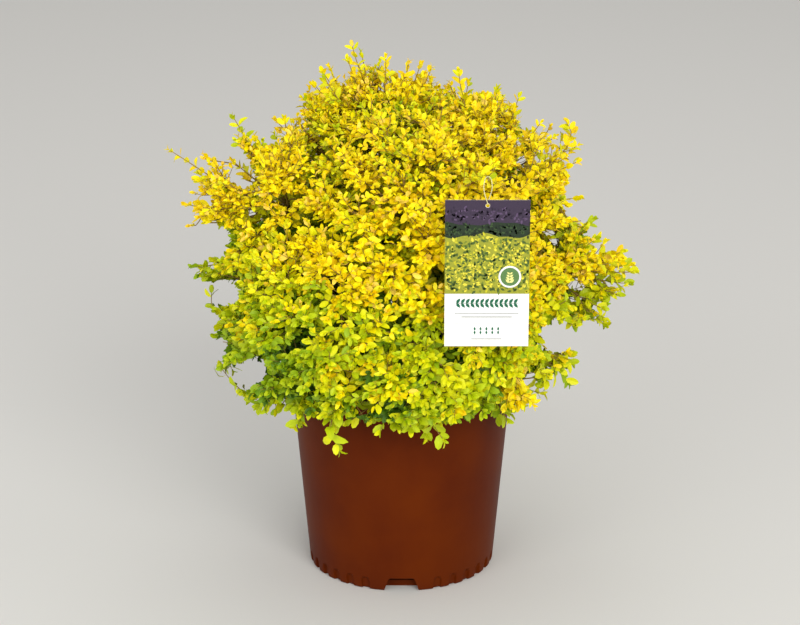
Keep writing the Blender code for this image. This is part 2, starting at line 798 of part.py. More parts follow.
def loop_points():
    """The loop's centreline: through the tag's hole, up both faces, and over the hook twig."""
    low = TAG_HEIGHT / 2 - TAG_HOLE_DROP + TAG_HOLE_RADIUS - LOOP_RADIUS - TOUCH
    high = TAG_HEIGHT / 2 - TAG_HOLE_DROP + LOOP_HEIGHT + HOOK_RADIUS + LOOP_RADIUS + TOUCH
    middle, rise = (low + high) / 2, (high - low) / 2
    points = []
    for i in range(LOOP_POINTS):
        turn = 2 * math.pi * i / LOOP_POINTS
        up = middle - rise * math.cos(turn)
        share = (1 - math.cos(turn)) / 2
        width = math.copysign(abs(math.sin(turn)) ** LOOP_ROUNDNESS, math.sin(turn))
        # The loop lies fore and aft at the hole and turns to lie across at the twig.
        twist = math.radians(90) * min(1, share * 1.4)
        across = LOOP_HALF_WIDTH * width * math.sin(twist)
        out = LOOP_HALF_WIDTH * width * math.cos(twist)
        points.append(TAG_CENTRE + Vector((across, out, up)))
    return points


def make_loop(collection, finish):
    """The thin tie that the tag hangs by, a closed ring of round cord."""
    data = bpy.data.curves.new("tag_loop", "CURVE")
    data.dimensions = "3D"
    data.bevel_depth = LOOP_RADIUS
    data.bevel_resolution = 1
    spline = data.splines.new("POLY")
    points = loop_points()
    spline.points.add(len(points) - 1)
    for handle, point in zip(spline.points, points):
        handle.co = (*point, 1)
    spline.use_cyclic_u = True
    return frozen(add_object("loop_curve", data, collection), "tag_loop", collection, finish)


def tree_of(objects):
    """A search tree over the faces of several objects."""
    points, faces = [], []
    for source in objects:
        first = len(points)
        points += [source.matrix_world @ v.co for v in source.data.vertices]
        faces += [[first + i for i in face.vertices] for face in source.data.polygons]
    return BVHTree.FromPolygons(points, faces)


def make_boughs(masses, collection, finish):
    """One bough from the trunk to each mass. Returns them with their paths and radii."""
    boughs, paths = [], []
    for mass in masses:
        points = mass.bough_points()
        radii = [
            BOUGH_FOOT_RADIUS + (BOUGH_TIP_RADIUS - BOUGH_FOOT_RADIUS) * i / (len(points) - 1)
            for i in range(len(points))
        ]
        name = "bough_" + mass.name
        boughs.append(add_limb(name, points, radii, collection, finish, BOUGH_ROUNDNESS))
        paths.append((points, radii))
    return boughs, paths


for leftover in list(bpy.data.objects):
    bpy.data.objects.remove(leftover)

plant = new_collection("potted_golden_privet")
pot_finish = material("pot_plastic", (0.130, 0.030, 0.014), 0.42)
soil_finish = material("potting_mix", (0.030, 0.020, 0.013), 0.95)
bark_finish = material("bark", (0.230, 0.170, 0.110), 0.80)
leaf_finish = material("golden_leaf", (0.780, 0.560, 0.020), 0.45)
tag_finish = material("tag_card", (0.860, 0.860, 0.830), 0.40)
loop_finish = material("tag_cord", (0.800, 0.760, 0.520), 0.50)

all_masses = [Mass(*row) for row in MASSES]
for one in all_masses:
    one.part_from(all_masses)
deal_sprays()

pot_object = make_pot(plant, pot_finish)
soil_object = make_soil(plant, soil_finish)
trunk_object = make_trunk(plant, bark_finish)
bough_objects, bough_paths = make_boughs(all_masses, plant, bark_finish)
tag_object = make_tag(plant, tag_finish)
loop_object = make_loop(plant, loop_finish)
limb_runs = limb_segments(bough_paths)
solid_tree = tree_of([pot_object, soil_object, trunk_object, *bough_objects, tag_object, loop_object])

leaf_total = 0
for one in all_masses:
    leaf_total += build_mass(one, plant, leaf_finish)
print(leaf_total, "leaves")
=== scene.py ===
import json
import math
import random

import bmesh
import bpy
import numpy as np
from mathutils import Matrix, Vector, noise

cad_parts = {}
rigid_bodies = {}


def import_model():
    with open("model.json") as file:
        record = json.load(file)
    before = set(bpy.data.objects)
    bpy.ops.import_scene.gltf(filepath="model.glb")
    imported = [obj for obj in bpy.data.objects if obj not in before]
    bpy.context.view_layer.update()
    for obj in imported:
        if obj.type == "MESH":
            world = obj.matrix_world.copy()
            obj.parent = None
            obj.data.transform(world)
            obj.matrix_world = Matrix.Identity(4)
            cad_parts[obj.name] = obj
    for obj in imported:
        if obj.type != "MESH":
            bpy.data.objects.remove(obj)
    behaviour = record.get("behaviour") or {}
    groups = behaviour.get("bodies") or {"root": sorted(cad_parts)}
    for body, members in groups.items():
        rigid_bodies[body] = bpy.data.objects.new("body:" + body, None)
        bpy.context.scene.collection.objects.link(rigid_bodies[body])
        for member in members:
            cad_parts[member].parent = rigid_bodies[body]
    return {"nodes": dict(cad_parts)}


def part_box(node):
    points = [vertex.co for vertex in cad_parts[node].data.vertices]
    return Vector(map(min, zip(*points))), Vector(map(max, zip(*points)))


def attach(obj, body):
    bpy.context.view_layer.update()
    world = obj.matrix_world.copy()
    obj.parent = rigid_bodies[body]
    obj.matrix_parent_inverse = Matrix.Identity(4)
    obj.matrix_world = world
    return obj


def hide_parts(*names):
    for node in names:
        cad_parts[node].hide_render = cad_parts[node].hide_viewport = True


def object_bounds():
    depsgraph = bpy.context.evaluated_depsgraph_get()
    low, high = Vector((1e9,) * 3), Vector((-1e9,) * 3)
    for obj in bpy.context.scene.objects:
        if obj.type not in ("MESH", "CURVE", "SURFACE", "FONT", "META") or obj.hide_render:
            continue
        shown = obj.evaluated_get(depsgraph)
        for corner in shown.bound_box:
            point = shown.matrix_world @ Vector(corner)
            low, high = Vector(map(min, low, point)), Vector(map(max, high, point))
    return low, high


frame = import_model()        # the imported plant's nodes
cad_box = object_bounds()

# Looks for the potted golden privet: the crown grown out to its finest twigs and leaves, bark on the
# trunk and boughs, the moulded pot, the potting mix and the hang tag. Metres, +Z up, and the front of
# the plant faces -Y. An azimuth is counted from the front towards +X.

BODY = "root"
SEED = 11
TOUCH = 0.0003

# Pot and potting mix, as the frame holds them
POT_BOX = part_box("pot")
POT_HEIGHT = POT_BOX[1].z
LIP_RADIUS = POT_BOX[1].x
RIM_LIP = 0.0032
WALL = 0.0022
BASE_RADIUS = 0.100
WALL_TOP_RADIUS = LIP_RADIUS - RIM_LIP
RIM_DEPTH = 0.012
SOIL_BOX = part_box("soil")
SOIL_CROWN = 0.004
SOIL_TOP = SOIL_BOX[1].z - SOIL_CROWN

# Trunk and boughs
TRUNK_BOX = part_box("trunk")
TRUNK_TOP = TRUNK_BOX[1].z
TRUNK_FLARE_RADIUS = 0.0125
TRUNK_FLARE_HEIGHT = 0.012
TRUNK_RADIUS = 0.0090
TRUNK_TIP_RADIUS = 0.0055
TRUNK_LEAN = 0.004
BOUGH_FOOT_RADIUS = 0.0036
BOUGH_TIP_RADIUS = 0.0024
BOUGH_LEVEL_RUN = 0.012

# The masses of foliage, as in the source: name, azimuth in degrees, distance from the pot's axis,
# height, radius, and the height at which the bough leaves the trunk
MASSES = (
    ("top", -80, 0.018, 0.460, 0.100, TRUNK_TOP),
    ("upper_front", 5, 0.094, 0.412, 0.104, 0.262),
    ("upper_right", 78, 0.088, 0.418, 0.100, 0.270),
    ("upper_back_right", 145, 0.092, 0.408, 0.104, 0.260),
    ("upper_back_left", -142, 0.092, 0.405, 0.104, 0.268),
    ("upper_left", -78, 0.120, 0.402, 0.098, 0.258),
    ("front_right", 33, 0.124, 0.328, 0.100, 0.242),
    ("right", 92, 0.152, 0.325, 0.088, 0.234),
    ("back_right", 148, 0.126, 0.322, 0.102, 0.244),
    ("back_left", -152, 0.124, 0.322, 0.102, 0.232),
    ("left", -96, 0.116, 0.308, 0.094, 0.240),
    ("front_left", -32, 0.126, 0.326, 0.100, 0.236),
    ("low_front", 2, 0.118, 0.256, 0.096, 0.214),
    ("low_front_right", 58, 0.104, 0.240, 0.084, 0.220),
    ("low_back_right", 120, 0.114, 0.242, 0.090, 0.212),
    ("low_back", 180, 0.118, 0.246, 0.094, 0.220),
    ("low_back_left", -120, 0.114, 0.242, 0.092, 0.214),
    ("low_front_left", -60, 0.116, 0.246, 0.090, 0.222),
)
CORE_SHARE = 0.69
CROWN_CENTRE = Vector((0, 0, 0.32))
CROWN_REACH = 0.32
CROWN_STEP = 0.002
BLEND = 3.0
LOWEST = 0.172
SKIRT = 0.211
SKIRT_REACH = 0.150
SKIRT_SLACK = 0.008
VIEWPOINT = Vector((-0.0016, -2.4, 1.04))
BOX_SLACK = 0.004
STEM_LEAD = 0.007
STEM_RADIUS = 0.0024
SPRAY_ROOT_SHARE = 0.12

# Long shoots that stand out of the crown: mass, and where the shoot's tip is
SHOOTS = (
    ("top", (-0.053, 0.000, 0.575)),
    ("top", (-0.016, -0.020, 0.566)),
    ("top", (0.022, 0.020, 0.550)),
    ("top", (-0.086, 0.010, 0.545)),
    ("upper_right", (0.057, -0.030, 0.553)),
    ("upper_right", (0.124, 0.000, 0.521)),
    ("upper_right", (0.180, 0.010, 0.489)),
    ("upper_right", (0.188, -0.030, 0.455)),
    ("upper_left", (-0.247, -0.020, 0.466)),
    ("upper_left", (-0.177, -0.030, 0.507)),
    ("upper_left", (-0.231, -0.030, 0.407)),
    ("left", (-0.213, 0.000, 0.300)),
    ("low_front_left", (-0.200, -0.050, 0.232)),
    ("right", (0.254, -0.020, 0.331)),
    ("right", (0.207, 0.000, 0.387)),
    ("right", (0.216, -0.050, 0.296)),
    ("low_front_right", (0.189, -0.030, 0.234)),
    ("low_front_left", (-0.110, -0.112, 0.184)),
    ("low_front_right", (0.112, -0.110, 0.190)),
    ("low_front", (-0.072, -0.165, 0.180)),
    ("low_front", (0.046, -0.170, 0.190)),
    ("upper_back_left", (-0.060, 0.180, 0.485)),
    ("upper_back_right", (0.115, 0.180, 0.455)),
    ("back_left", (-0.130, 0.205, 0.345)),
    ("back_right", (0.150, 0.195, 0.330)),
)

# Shorter shoots of the same kind, which the source leaves to the looks
SPRIGS = (
    ("top", (-0.058, 0.000, 0.560)),
    ("top", (-0.043, 0.000, 0.568)),
    ("top", (0.009, 0.000, 0.556)),
    ("top", (0.034, 0.000, 0.550)),
    ("top", (-0.084, -0.020, 0.545)),
    ("top", (-0.096, 0.000, 0.533)),
    ("top", (-0.109, 0.000, 0.517)),
    ("upper_left", (-0.122, 0.000, 0.497)),
    ("upper_left", (-0.172, -0.020, 0.482)),
    ("upper_left", (-0.182, 0.000, 0.451)),
    ("upper_left", (-0.221, -0.020, 0.433)),
    ("upper_right", (0.086, -0.030, 0.529)),
    ("upper_right", (0.100, 0.000, 0.529)),
    ("upper_right", (0.148, -0.020, 0.497)),
    ("upper_right", (0.177, -0.030, 0.438)),
    ("upper_right", (0.193, 0.000, 0.406)),
    ("right", (0.212, 0.000, 0.365)),
    ("right", (0.240, -0.010, 0.352)),
    ("right", (0.250, 0.000, 0.333)),
    ("right", (0.248, -0.020, 0.317)),
    ("right", (0.184, -0.040, 0.272)),
    ("left", (-0.186, 0.000, 0.356)),
    ("left", (-0.206, 0.000, 0.339)),
    ("left", (-0.218, 0.000, 0.322)),
    ("left", (-0.199, -0.020, 0.266)),
    ("low_front_left", (-0.191, -0.030, 0.226)),
    ("low_front_left", (-0.157, -0.070, 0.192)),
    ("low_front_left", (-0.146, -0.090, 0.203)),
    ("low_front_left", (-0.134, -0.090, 0.193)),
    ("low_front_left", (-0.104, -0.128, 0.205)),
    ("low_front_left", (-0.088, -0.140, 0.212)),
    ("low_front_left", (-0.076, -0.148, 0.222)),
    ("low_front_right", (0.159, -0.060, 0.218)),
    ("low_front_right", (0.155, -0.040, 0.198)),
    ("low_front_right", (0.132, -0.090, 0.200)),
    ("low_front", (0.010, -0.178, 0.205)),
    ("low_front", (-0.025, -0.178, 0.202)),
    ("low_front", (-0.058, -0.158, 0.208)),
)

# Points that some of these shoots bend through on their way to the tip
ARCHED = {
    (-0.200, -0.050, 0.232): (-0.147, -0.070, 0.210),
    (-0.213, 0.000, 0.300): (-0.184, -0.010, 0.281),
    (-0.191, -0.030, 0.226): (-0.171, -0.030, 0.243),
    (-0.072, -0.165, 0.180): (-0.063, -0.150, 0.228),
    (0.159, -0.060, 0.218): (0.158, -0.050, 0.240),
    (0.180, 0.010, 0.489): (0.164, 0.005, 0.450),
    (0.189, -0.030, 0.234): (0.150, -0.045, 0.242),
    (-0.110, -0.112, 0.184): (-0.100, -0.100, 0.215),
}

# Sparser shoots: how much of the outer end bears leaves, and the side shoots there
SPARSE = {
    (-0.053, 0.000, 0.575): (0.055, 1),
    (-0.058, 0.000, 0.560): (0.024, 0),
    (-0.043, 0.000, 0.568): (0.014, 0),
    (-0.016, -0.020, 0.566): (0.060, 1),
    (0.009, 0.000, 0.556): (0.030, 0),
    (-0.213, 0.000, 0.300): (0.012, 0),
    (-0.191, -0.030, 0.226): (0.012, 0),
    (0.248, -0.020, 0.317): (0.042, 0),
    (0.254, -0.020, 0.331): (0.060, 2),
    (0.216, -0.050, 0.296): (0.050, 1),
}

# Twigs: main twigs run from a mass's stem to the crown's surface, branchlets leave them, and side
# shoots leave the branchlets. For each layer of branchlets: how many there are, how far out they end
# as shares of the way from the mass's centre to the crown's surface, the side shoots on each, and how
# much more shaded their leaves are than the rest.
MAIN_TWIGS = 200
MAIN_POINTS = 9
MAIN_RADII = (0.0016, 0.0006)
LAYERS = (
    (1110, 0.85, 0.99, 6, -0.05),
    (560, 0.66, 0.86, 5, 0.03),
    (150, 1.00, 1.14, 1, 0.06),
)
INNER_TWIGS = 28
INNER_REACH = (0.35, 0.84)
INNER_LEAF_SHARE = 1.35
INNER_SHADE = -0.04
BRANCHLET_POINTS = 6
BRANCHLET_RADII = (0.0008, 0.0004)
BRANCHLET_RUN = 0.030
SIDE_RUN = (0.016, 0.030)
SIDE_RADII = (0.0005, 0.0003)
PAIR_SPACING = 0.0088
LUMP_SHARE = 0.08
LUMP_WIDTH = 0.060
HEADING_SCATTER = 0.035

# How full each mass is, where it isn't grown right out to the crown's surface
FULLNESS = {"top": 0.78, "upper_left": 0.97, "upper_right": 0.90, "low_front": 0.92}

# Long shoots and sprigs: how much of the twig's outer end bears leaves, and its side shoots there
SHOOT_LEAFY, SHOOT_SIDES = 0.092, 4
SPRIG_LEAFY, SPRIG_SIDES = 0.042, 2
SHOOT_SPACINGS = (0.58, 0.88)
SHOOT_SIDES_TO = 0.42
LONG_SHOOT_SHADE = 0.12
LONG_SHOOT_SHADES = (0.16, 0.42)
LONG_SHOOT_RADII = (0.0012, 0.0004)
LONG_SHOOT_LEAF_SHARE = 1.04
LONG_SHOOT_TIP_SIZES = (0.80, 0.95, 1.0)
LONG_SHOOT_RISE = 0.12
LONG_SHOOT_FACING = Vector((0, -0.5, 0))
LOW_SHOOT_SAG = 0.55
LOW_TIP_RISE = 0.30
REAR_FROM = 0.05
REAR_SHOOTS, REAR_STAND, REAR_LOWEST = 130, (0.010, 0.028), 0.21
REAR_SHOOTS_FROM = 0.10

# Hollows in the crown's outline, as the front view shows them: x and z at the pot's axis, and radius
HOLLOWS = (
    (-0.143, 0.486, 0.020),
    (-0.168, 0.430, 0.013),
    (-0.169, 0.444, 0.006),
    (-0.186, 0.459, 0.010),
    (-0.171, 0.456, 0.007),
    (-0.207, 0.404, 0.006),
    (-0.160, 0.391, 0.004),
    (-0.203, 0.357, 0.019),
    (-0.190, 0.303, 0.015),
    (-0.212, 0.269, 0.017),
    (-0.204, 0.238, 0.014),
    (-0.163, 0.212, 0.014),
    (-0.179, 0.153, 0.026),
    (-0.129, 0.144, 0.017),
    (-0.122, 0.169, 0.012),
    (-0.042, 0.171, 0.008),
    (-0.026, 0.150, 0.008),
    (-0.183, 0.468, 0.010),
    (-0.116, 0.514, 0.012),
    (-0.121, 0.503, 0.009),
    (-0.017, 0.526, 0.005),
    (0.066, 0.533, 0.013),
    (0.087, 0.535, 0.013),
    (0.102, 0.535, 0.012),
    (0.136, 0.499, 0.018),
    (0.124, 0.468, 0.004),
    (0.100, 0.478, 0.004),
    (0.126, 0.447, 0.004),
    (0.153, 0.454, 0.006),
    (0.143, 0.450, 0.004),
    (0.193, 0.421, 0.018),
    (0.191, 0.409, 0.007),
    (0.178, 0.400, 0.008),
    (0.193, 0.395, 0.013),
    (0.210, 0.380, 0.011),
    (0.223, 0.365, 0.012),
    (0.228, 0.353, 0.008),
    (0.218, 0.352, 0.009),
    (0.201, 0.369, 0.005),
    (0.157, 0.367, 0.0045),
    (0.163, 0.359, 0.0045),
    (0.148, 0.347, 0.003),
    (0.185, 0.310, 0.006),
    (0.182, 0.292, 0.004),
    (0.211, 0.284, 0.006),
    (0.226, 0.319, 0.010),
    (0.240, 0.281, 0.015),
    (0.202, 0.262, 0.009),
    (0.170, 0.252, 0.019),
    (0.210, 0.246, 0.018),
    (0.180, 0.206, 0.010),
    (0.160, 0.221, 0.004),
    (0.140, 0.200, 0.007),
    (0.171, 0.190, 0.012),
    (0.152, 0.143, 0.022),
)
HOLLOW_RAGGED = 0.26
HOLLOW_WAVES = ((260, 230), (690, 610))
LEAF_HOLLOW = 0.82

# Leaf length against height, and the size of the last pairs of a twig
LEAF_HEIGHTS = (0.18, 0.27, 0.36, 0.46, 0.58)
LEAF_LENGTHS = (0.0172, 0.0162, 0.0143, 0.0122, 0.0112)
TIP_SIZES = (0.72, 0.88, 0.98)
LEAF_WIDTH_SHARE = (0.48, 0.62)
LEAF_STATIONS = ((0.20, 0.70), (0.52, 1.00), (0.85, 0.66))

# Hang tag, loop and the twig it hangs from
TAG_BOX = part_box("hang_tag")
TAG_CENTRE = (TAG_BOX[0] + TAG_BOX[1]) / 2
TAG_WIDTH = TAG_BOX[1].x - TAG_BOX[0].x
TAG_HEIGHT = TAG_BOX[1].z - TAG_BOX[0].z
TAG_THICKNESS = TAG_BOX[1].y - TAG_BOX[0].y
TAG_HOLE_RADIUS = 0.0020
TAG_HOLE_DROP = 0.0055
TAG_KEEP = 0.004
LOOP_RADIUS = 0.0005
LOOP_HEIGHT = 0.0265
LOOP_HALF_WIDTH = 0.0042
LOOP_ROUNDNESS = 0.7
HOOK_RADIUS = 0.0011
HOOK_RUN = Vector((0, -0.99, 0.13)).normalized()
HOOK_LENGTH = 0.030
HOOK_OVERHANG = 0.010
HOOK_ROOT_SHARE = 0.15
HOOK_MASS = "upper_front"
POT_CLEAR_RADIUS = LIP_RADIUS + 0.003
POT_CLEAR_HEIGHT = POT_HEIGHT + 0.004


def at(azimuth, distance, height):
    """The point at this azimuth in degrees, distance from the pot's axis and height."""
    turn = math.radians(azimuth)
    return Vector((distance * math.sin(turn), -distance * math.cos(turn), height))


def linear(red, green, blue):
    """A colour given in screen values from 0 to 255, as the shader reads it."""
    shares = [value / 255 for value in (red, green, blue)]
    return [s / 12.92 if s <= 0.04045 else ((s + 0.055) / 1.055) ** 2.4 for s in shares]


def plain(name, colour, roughness, specular=0.5):
    """A Principled material of one colour."""
    made = bpy.data.materials.new(name)
    made.use_nodes = True
    shader = made.node_tree.nodes["Principled BSDF"]
    shader.inputs["Base Color"].default_value = (*linear(*colour), 1)
    shader.inputs["Roughness"].default_value = roughness
    shader.inputs["Specular IOR Level"].default_value = specular
    return made


def mottled(name, colours, scale, roughness, bump, specular=0.4, coat=0.0):
    """A Principled material whose colour, roughness and relief follow noise at one scale in metres."""
    made = plain(name, colours[0], roughness[0], specular)
    tree = made.node_tree
    nodes, links = tree.nodes, tree.links
    shader = nodes["Principled BSDF"]
    place = nodes.new("ShaderNodeTexCoord")
    grain = nodes.new("ShaderNodeTexNoise")
    grain.inputs["Scale"].default_value = 1 / scale
    grain.inputs["Detail"].default_value = 6.0
    links.new(place.outputs["Object"], grain.inputs["Vector"])
    ramp = nodes.new("ShaderNodeValToRGB")
    steps = ramp.color_ramp
    steps.elements[0].position = 0.30
    steps.elements[1].position = 0.70
    steps.elements[0].color = (*linear(*colours[0]), 1)
    steps.elements[1].color = (*linear(*colours[-1]), 1)
    for i, colour in enumerate(colours[1:-1], 1):
        middle = steps.elements.new(0.30 + 0.40 * i / (len(colours) - 1))
        middle.color = (*linear(*colour), 1)
    links.new(grain.outputs["Fac"], ramp.inputs["Fac"])
    links.new(ramp.outputs["Color"], shader.inputs["Base Color"])
    shine = nodes.new("ShaderNodeMapRange")
    shine.inputs["To Min"].default_value = roughness[0]
    shine.inputs["To Max"].default_value = roughness[1]
    links.new(grain.outputs["Fac"], shine.inputs["Value"])
    links.new(shine.outputs["Result"], shader.inputs["Roughness"])
    relief = nodes.new("ShaderNodeBump")
    relief.inputs["Strength"].default_value = bump[0]
    relief.inputs["Distance"].default_value = bump[1]
    links.new(grain.outputs["Fac"], relief.inputs["Height"])
    links.new(relief.outputs["Normal"], shader.inputs["Normal"])
    shader.inputs["Coat Weight"].default_value = coat
    return made


def finished(piece, slot, *nodes):
    """Makes a piece ride with the plant and hides the nodes that it stands for; its finish is not used.
    """
    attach(piece, BODY)
    if nodes:
        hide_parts(*nodes)
    return piece


def add_mesh(name, points, polygons, materials, tones=None, smooth=True):
    """A mesh object from arrays: points, and arrays of faces with the same number of corners in each."""
    data = bpy.data.meshes.new(name)
    sizes = np.concatenate([np.full(len(faces), faces.shape[1]) for faces in polygons])
    corners = np.concatenate([faces.ravel() for faces in polygons]).astype(np.int32)
    starts = (np.cumsum(sizes) - sizes).astype(np.int32)
    data.vertices.add(len(points))
    data.vertices.foreach_set("co", np.ascontiguousarray(points, np.float32).ravel())
    data.loops.add(len(corners))
    data.loops.foreach_set("vertex_index", corners)
    data.polygons.add(len(sizes))
    data.polygons.foreach_set("loop_start", starts)
    for material in materials:
        data.materials.append(material)
    if tones is not None:
        data.polygons.foreach_set("material_index", np.concatenate(tones).astype(np.int32))
    data.polygons.foreach_set("use_smooth", np.full(len(sizes), smooth))
    data.update(calc_edges=True)
    data.validate()
    made = bpy.data.objects.new(name, data)
    bpy.context.scene.collection.objects.link(made)
    return made


def bmesh_object(name, bm, material, smooth=True):
    """A mesh object of what a bmesh holds."""
    for face in bm.faces:
        face.smooth = smooth
    data = bpy.data.meshes.new(name)
    bm.to_mesh(data)
    bm.free()
    data.materials.append(material)
    made = bpy.data.objects.new(name, data)
    bpy.context.scene.collection.objects.link(made)
    return made


def unit(vectors):
    """Each vector of an array at length one."""
    return vectors / np.maximum(np.linalg.norm(vectors, axis=-1, keepdims=True), 1e-9)


def tubes(paths, radii, sides, relief=None):
    """Closed tubes round several paths of the same number of points: their vertices and faces.

    paths is (count, points, 3) and radii is (count, points). relief, if given, is a function of the
    vertices, (count, points, sides, 3), that returns how far each stands out.
    """
    count, steps = paths.shape[:2]
    ways = unit(np.gradient(paths, axis=1))
    normal = unit(np.cross(ways[:, 0], np.where(abs(ways[:, 0, 2:]) < 0.9, (0, 0, 1), (1, 0, 0))))
    normals = []
    for i in range(steps):
        along = ways[:, i]
        normal = unit(normal - along * (normal * along).sum(-1, keepdims=True))
        normals.append(normal)
    normals = np.stack(normals, 1)
    across = np.cross(ways, normals)
    turn = 2 * np.pi * np.arange(sides) / sides
    ring = (
        normals[:, :, None] * np.cos(turn)[None, None, :, None]
        + across[:, :, None] * np.sin(turn)[None, None, :, None]
    )
    points = paths[:, :, None] + ring * radii[:, :, None, None]
    if relief is not None:
        points = points + ring * relief(points)[..., None]
    index = np.arange(count * steps * sides).reshape(count, steps, sides)
    after = np.roll(index, -1, axis=2)
    quads = np.stack([index[:, :-1], after[:, :-1], after[:, 1:], index[:, 1:]], -1).reshape(-1, 4)
    caps = np.concatenate([index[:, 0, ::-1], index[:, -1]])
    return points.reshape(-1, 3), [quads, caps]


def bezier(start, control, end, count):
    """Points along a quadratic curve."""
    points = []
    for i in range(count):
        t = i / (count - 1)
        points.append(start * (1 - t) ** 2 + control * 2 * t * (1 - t) + end * t**2)
    return points


def cubic(start, leaving, arriving, end, count):
    """Points along a cubic curve."""
    points = []
    for i in range(count):
        t = i / (count - 1)
        near = start * (1 - t) ** 3 + leaving * 3 * t * (1 - t) ** 2
        points.append(near + arriving * 3 * t**2 * (1 - t) + end * t**3)
    return points


def trunk_radius(height):
    """The trunk's radius at this height, with its root flare at the soil."""
    foot = SOIL_TOP + SOIL_CROWN
    share = (height - foot) / (TRUNK_TOP - foot)
    taper = TRUNK_RADIUS + (TRUNK_TIP_RADIUS - TRUNK_RADIUS) * share
    flare = (TRUNK_FLARE_RADIUS - TRUNK_RADIUS) * max(0, 1 - (height - foot) / TRUNK_FLARE_HEIGHT) ** 2
    return taper + flare


def trunk_centre(height):
    """The trunk's axis at this height: it leans a little to the left."""
    foot = SOIL_TOP + SOIL_CROWN
    share = (height - foot) / (TRUNK_TOP - foot)
    return Vector((-TRUNK_LEAN * share, 0, height))


class Mass:
    """One mass of foliage: its ball, its bough, and the twigs and leaves that grow in it."""

    def __init__(self, name, azimuth, distance, height, radius, fork):
        self.name = name
        self.centre = at(azimuth, distance, height)
        self.radius = radius
        self.fork = fork
        self.rng = random.Random(f"{SEED} {name}")
        self.long_shoot = False    # true while its long shoots grow, which may hang and stand alone
        self.mains = []
        self.twigs = {"main": [], "long": [], "branchlet": [], "side": []}
        self.leaves = []

    def entry(self):
        """Where the bough ends and the mass's own stem begins."""
        fork = trunk_centre(self.fork)
        inward = (fork - self.centre).normalized()
        return self.centre + inward * self.radius * (CORE_SHARE + 0.02)

    def bough_points(self, count):
        """The bough's path: level out of the trunk's axis, then up in a curve towards the mass."""
        fork = trunk_centre(self.fork)
        entry = self.entry()
        if self.fork >= TRUNK_TOP - TOUCH:
            start = fork + Vector((0, 0, TOUCH - BOUGH_LEVEL_RUN))
            control = fork + Vector((0, 0, TOUCH + BOUGH_LEVEL_RUN * 2))
            return bezier(start, control, entry, count)
        outward = Vector((self.centre.x - fork.x, self.centre.y - fork.y, 0)).normalized()
        start = fork + outward * (trunk_radius(self.fork) + TOUCH)
        level = start + outward * BOUGH_LEVEL_RUN / 2
        control = start + outward * BOUGH_LEVEL_RUN * 2
        return [fork, start, *bezier(level, control, entry, count - 2)]

    def stem_points(self):
        """The mass's stem: from its bough's tip to its centre."""
        path = self.bough_points(12)
        onward = (path[-1] - path[-2]).normalized()
        middle = path[-1] + onward * STEM_LEAD
        return [path[-2], path[-1], middle, middle.lerp(self.centre, 0.5), self.centre]


all_masses = [Mass(*row) for row in MASSES]
CENTRES = np.array([mass.centre for mass in all_masses])
RADII = np.array([mass.radius for mass in all_masses])


def density(points):
    """How thick the crown is at each point: 1 on the outside of a lone ball, more where balls meet."""
    away = ((points[:, None] - CENTRES) ** 2).sum(-1)
    return np.exp(BLEND * (1 - away / RADII**2)).sum(-1)


def owners(points):
    """Which mass's own space each point lies in."""
    away = ((points[:, None] - CENTRES) ** 2).sum(-1)
    return (away - RADII**2).argmin(-1)


def even_headings(count, turn=0.0):
    """Evenly spread unit vectors all round a point, the whole lattice turned by some radians."""
    golden = math.pi * (3 - math.sqrt(5))
    steps = np.arange(count)
    rise = 1 - 2 * (steps + 0.5) / count
    level = np.sqrt(1 - rise * rise)
    angle = steps * golden + turn
    return np.stack([level * np.cos(angle), level * np.sin(angle), rise], -1)


def crown_surface(ways):
    """The outermost point of the crown along each heading from its centre."""
    reach = np.full(len(ways), CROWN_REACH)
    middle = np.array(CROWN_CENTRE)
    for _ in range(int(CROWN_REACH / CROWN_STEP)):
        outside = density(middle + ways * reach[:, None]) < 1
        reach[outside] -= CROWN_STEP
    return middle + ways * reach[:, None]


def tag_is_near(points):
    """True for each point in the space that the tag and its loop need, and in front of them."""
    across, out, up = (points - np.array(TAG_CENTRE)).T
    beside = TAG_WIDTH / 2 + TAG_KEEP
    on_tag = (abs(across) < beside) & (abs(up) < TAG_HEIGHT / 2 + TAG_KEEP)
    loop_top = TAG_HEIGHT / 2 + LOOP_HEIGHT + TAG_KEEP
    on_loop = (abs(across) < LOOP_HALF_WIDTH + TAG_KEEP) & (up > 0) & (up < loop_top)
    return (out < TAG_KEEP) & on_tag | (out < 2 * TAG_KEEP) & on_loop


def pot_is_near(points):
    """True for each point inside the pot and close round it."""
    level = np.hypot(points[:, 0], points[:, 1])
    return (level < POT_CLEAR_RADIUS) & (points[:, 2] < POT_CLEAR_HEIGHT)


def allowed(points):
    """True for each point that twigs and leaves may reach."""
    low, high = np.array(cad_box[0]) - BOX_SLACK, np.array(cad_box[1]) + BOX_SLACK
    inside = ((points > low) & (points < high)).all(-1)
    return inside & (points[:, 2] > LOWEST) & ~pot_is_near(points) & ~tag_is_near(points)


def seen_at_axis(points):
    """Where the front view's lines through these points meet the plane of the pot's axis."""
    run = points - np.array(VIEWPOINT)
    share = -VIEWPOINT.y / run[:, 1]
    return np.array(VIEWPOINT) + run * share[:, None]


def in_hollow(points, size=1.0):
    """True for each point that the front view shows in a hollow of the crown, of this relative size."""
    seen = seen_at_axis(points)
    waves = sum(np.sin(seen[:, 0] * a) * np.sin(seen[:, 2] * b) for a, b in HOLLOW_WAVES)
    ragged = size * (1 + HOLLOW_RAGGED * waves)
    inside = np.zeros(len(points), bool)
    for x, z, radius in HOLLOWS:
        inside |= np.hypot(seen[:, 0] - x, seen[:, 2] - z) < radius * ragged
    return inside


def below_skirt(points, slack=0.0):
    """True for each point under the crown's lower edge, where only long shoots hang."""
    level = np.hypot(points[:, 0], points[:, 1])
    return points[:, 2] < SKIRT - slack + np.maximum(level - SKIRT_REACH, 0) * 0.3


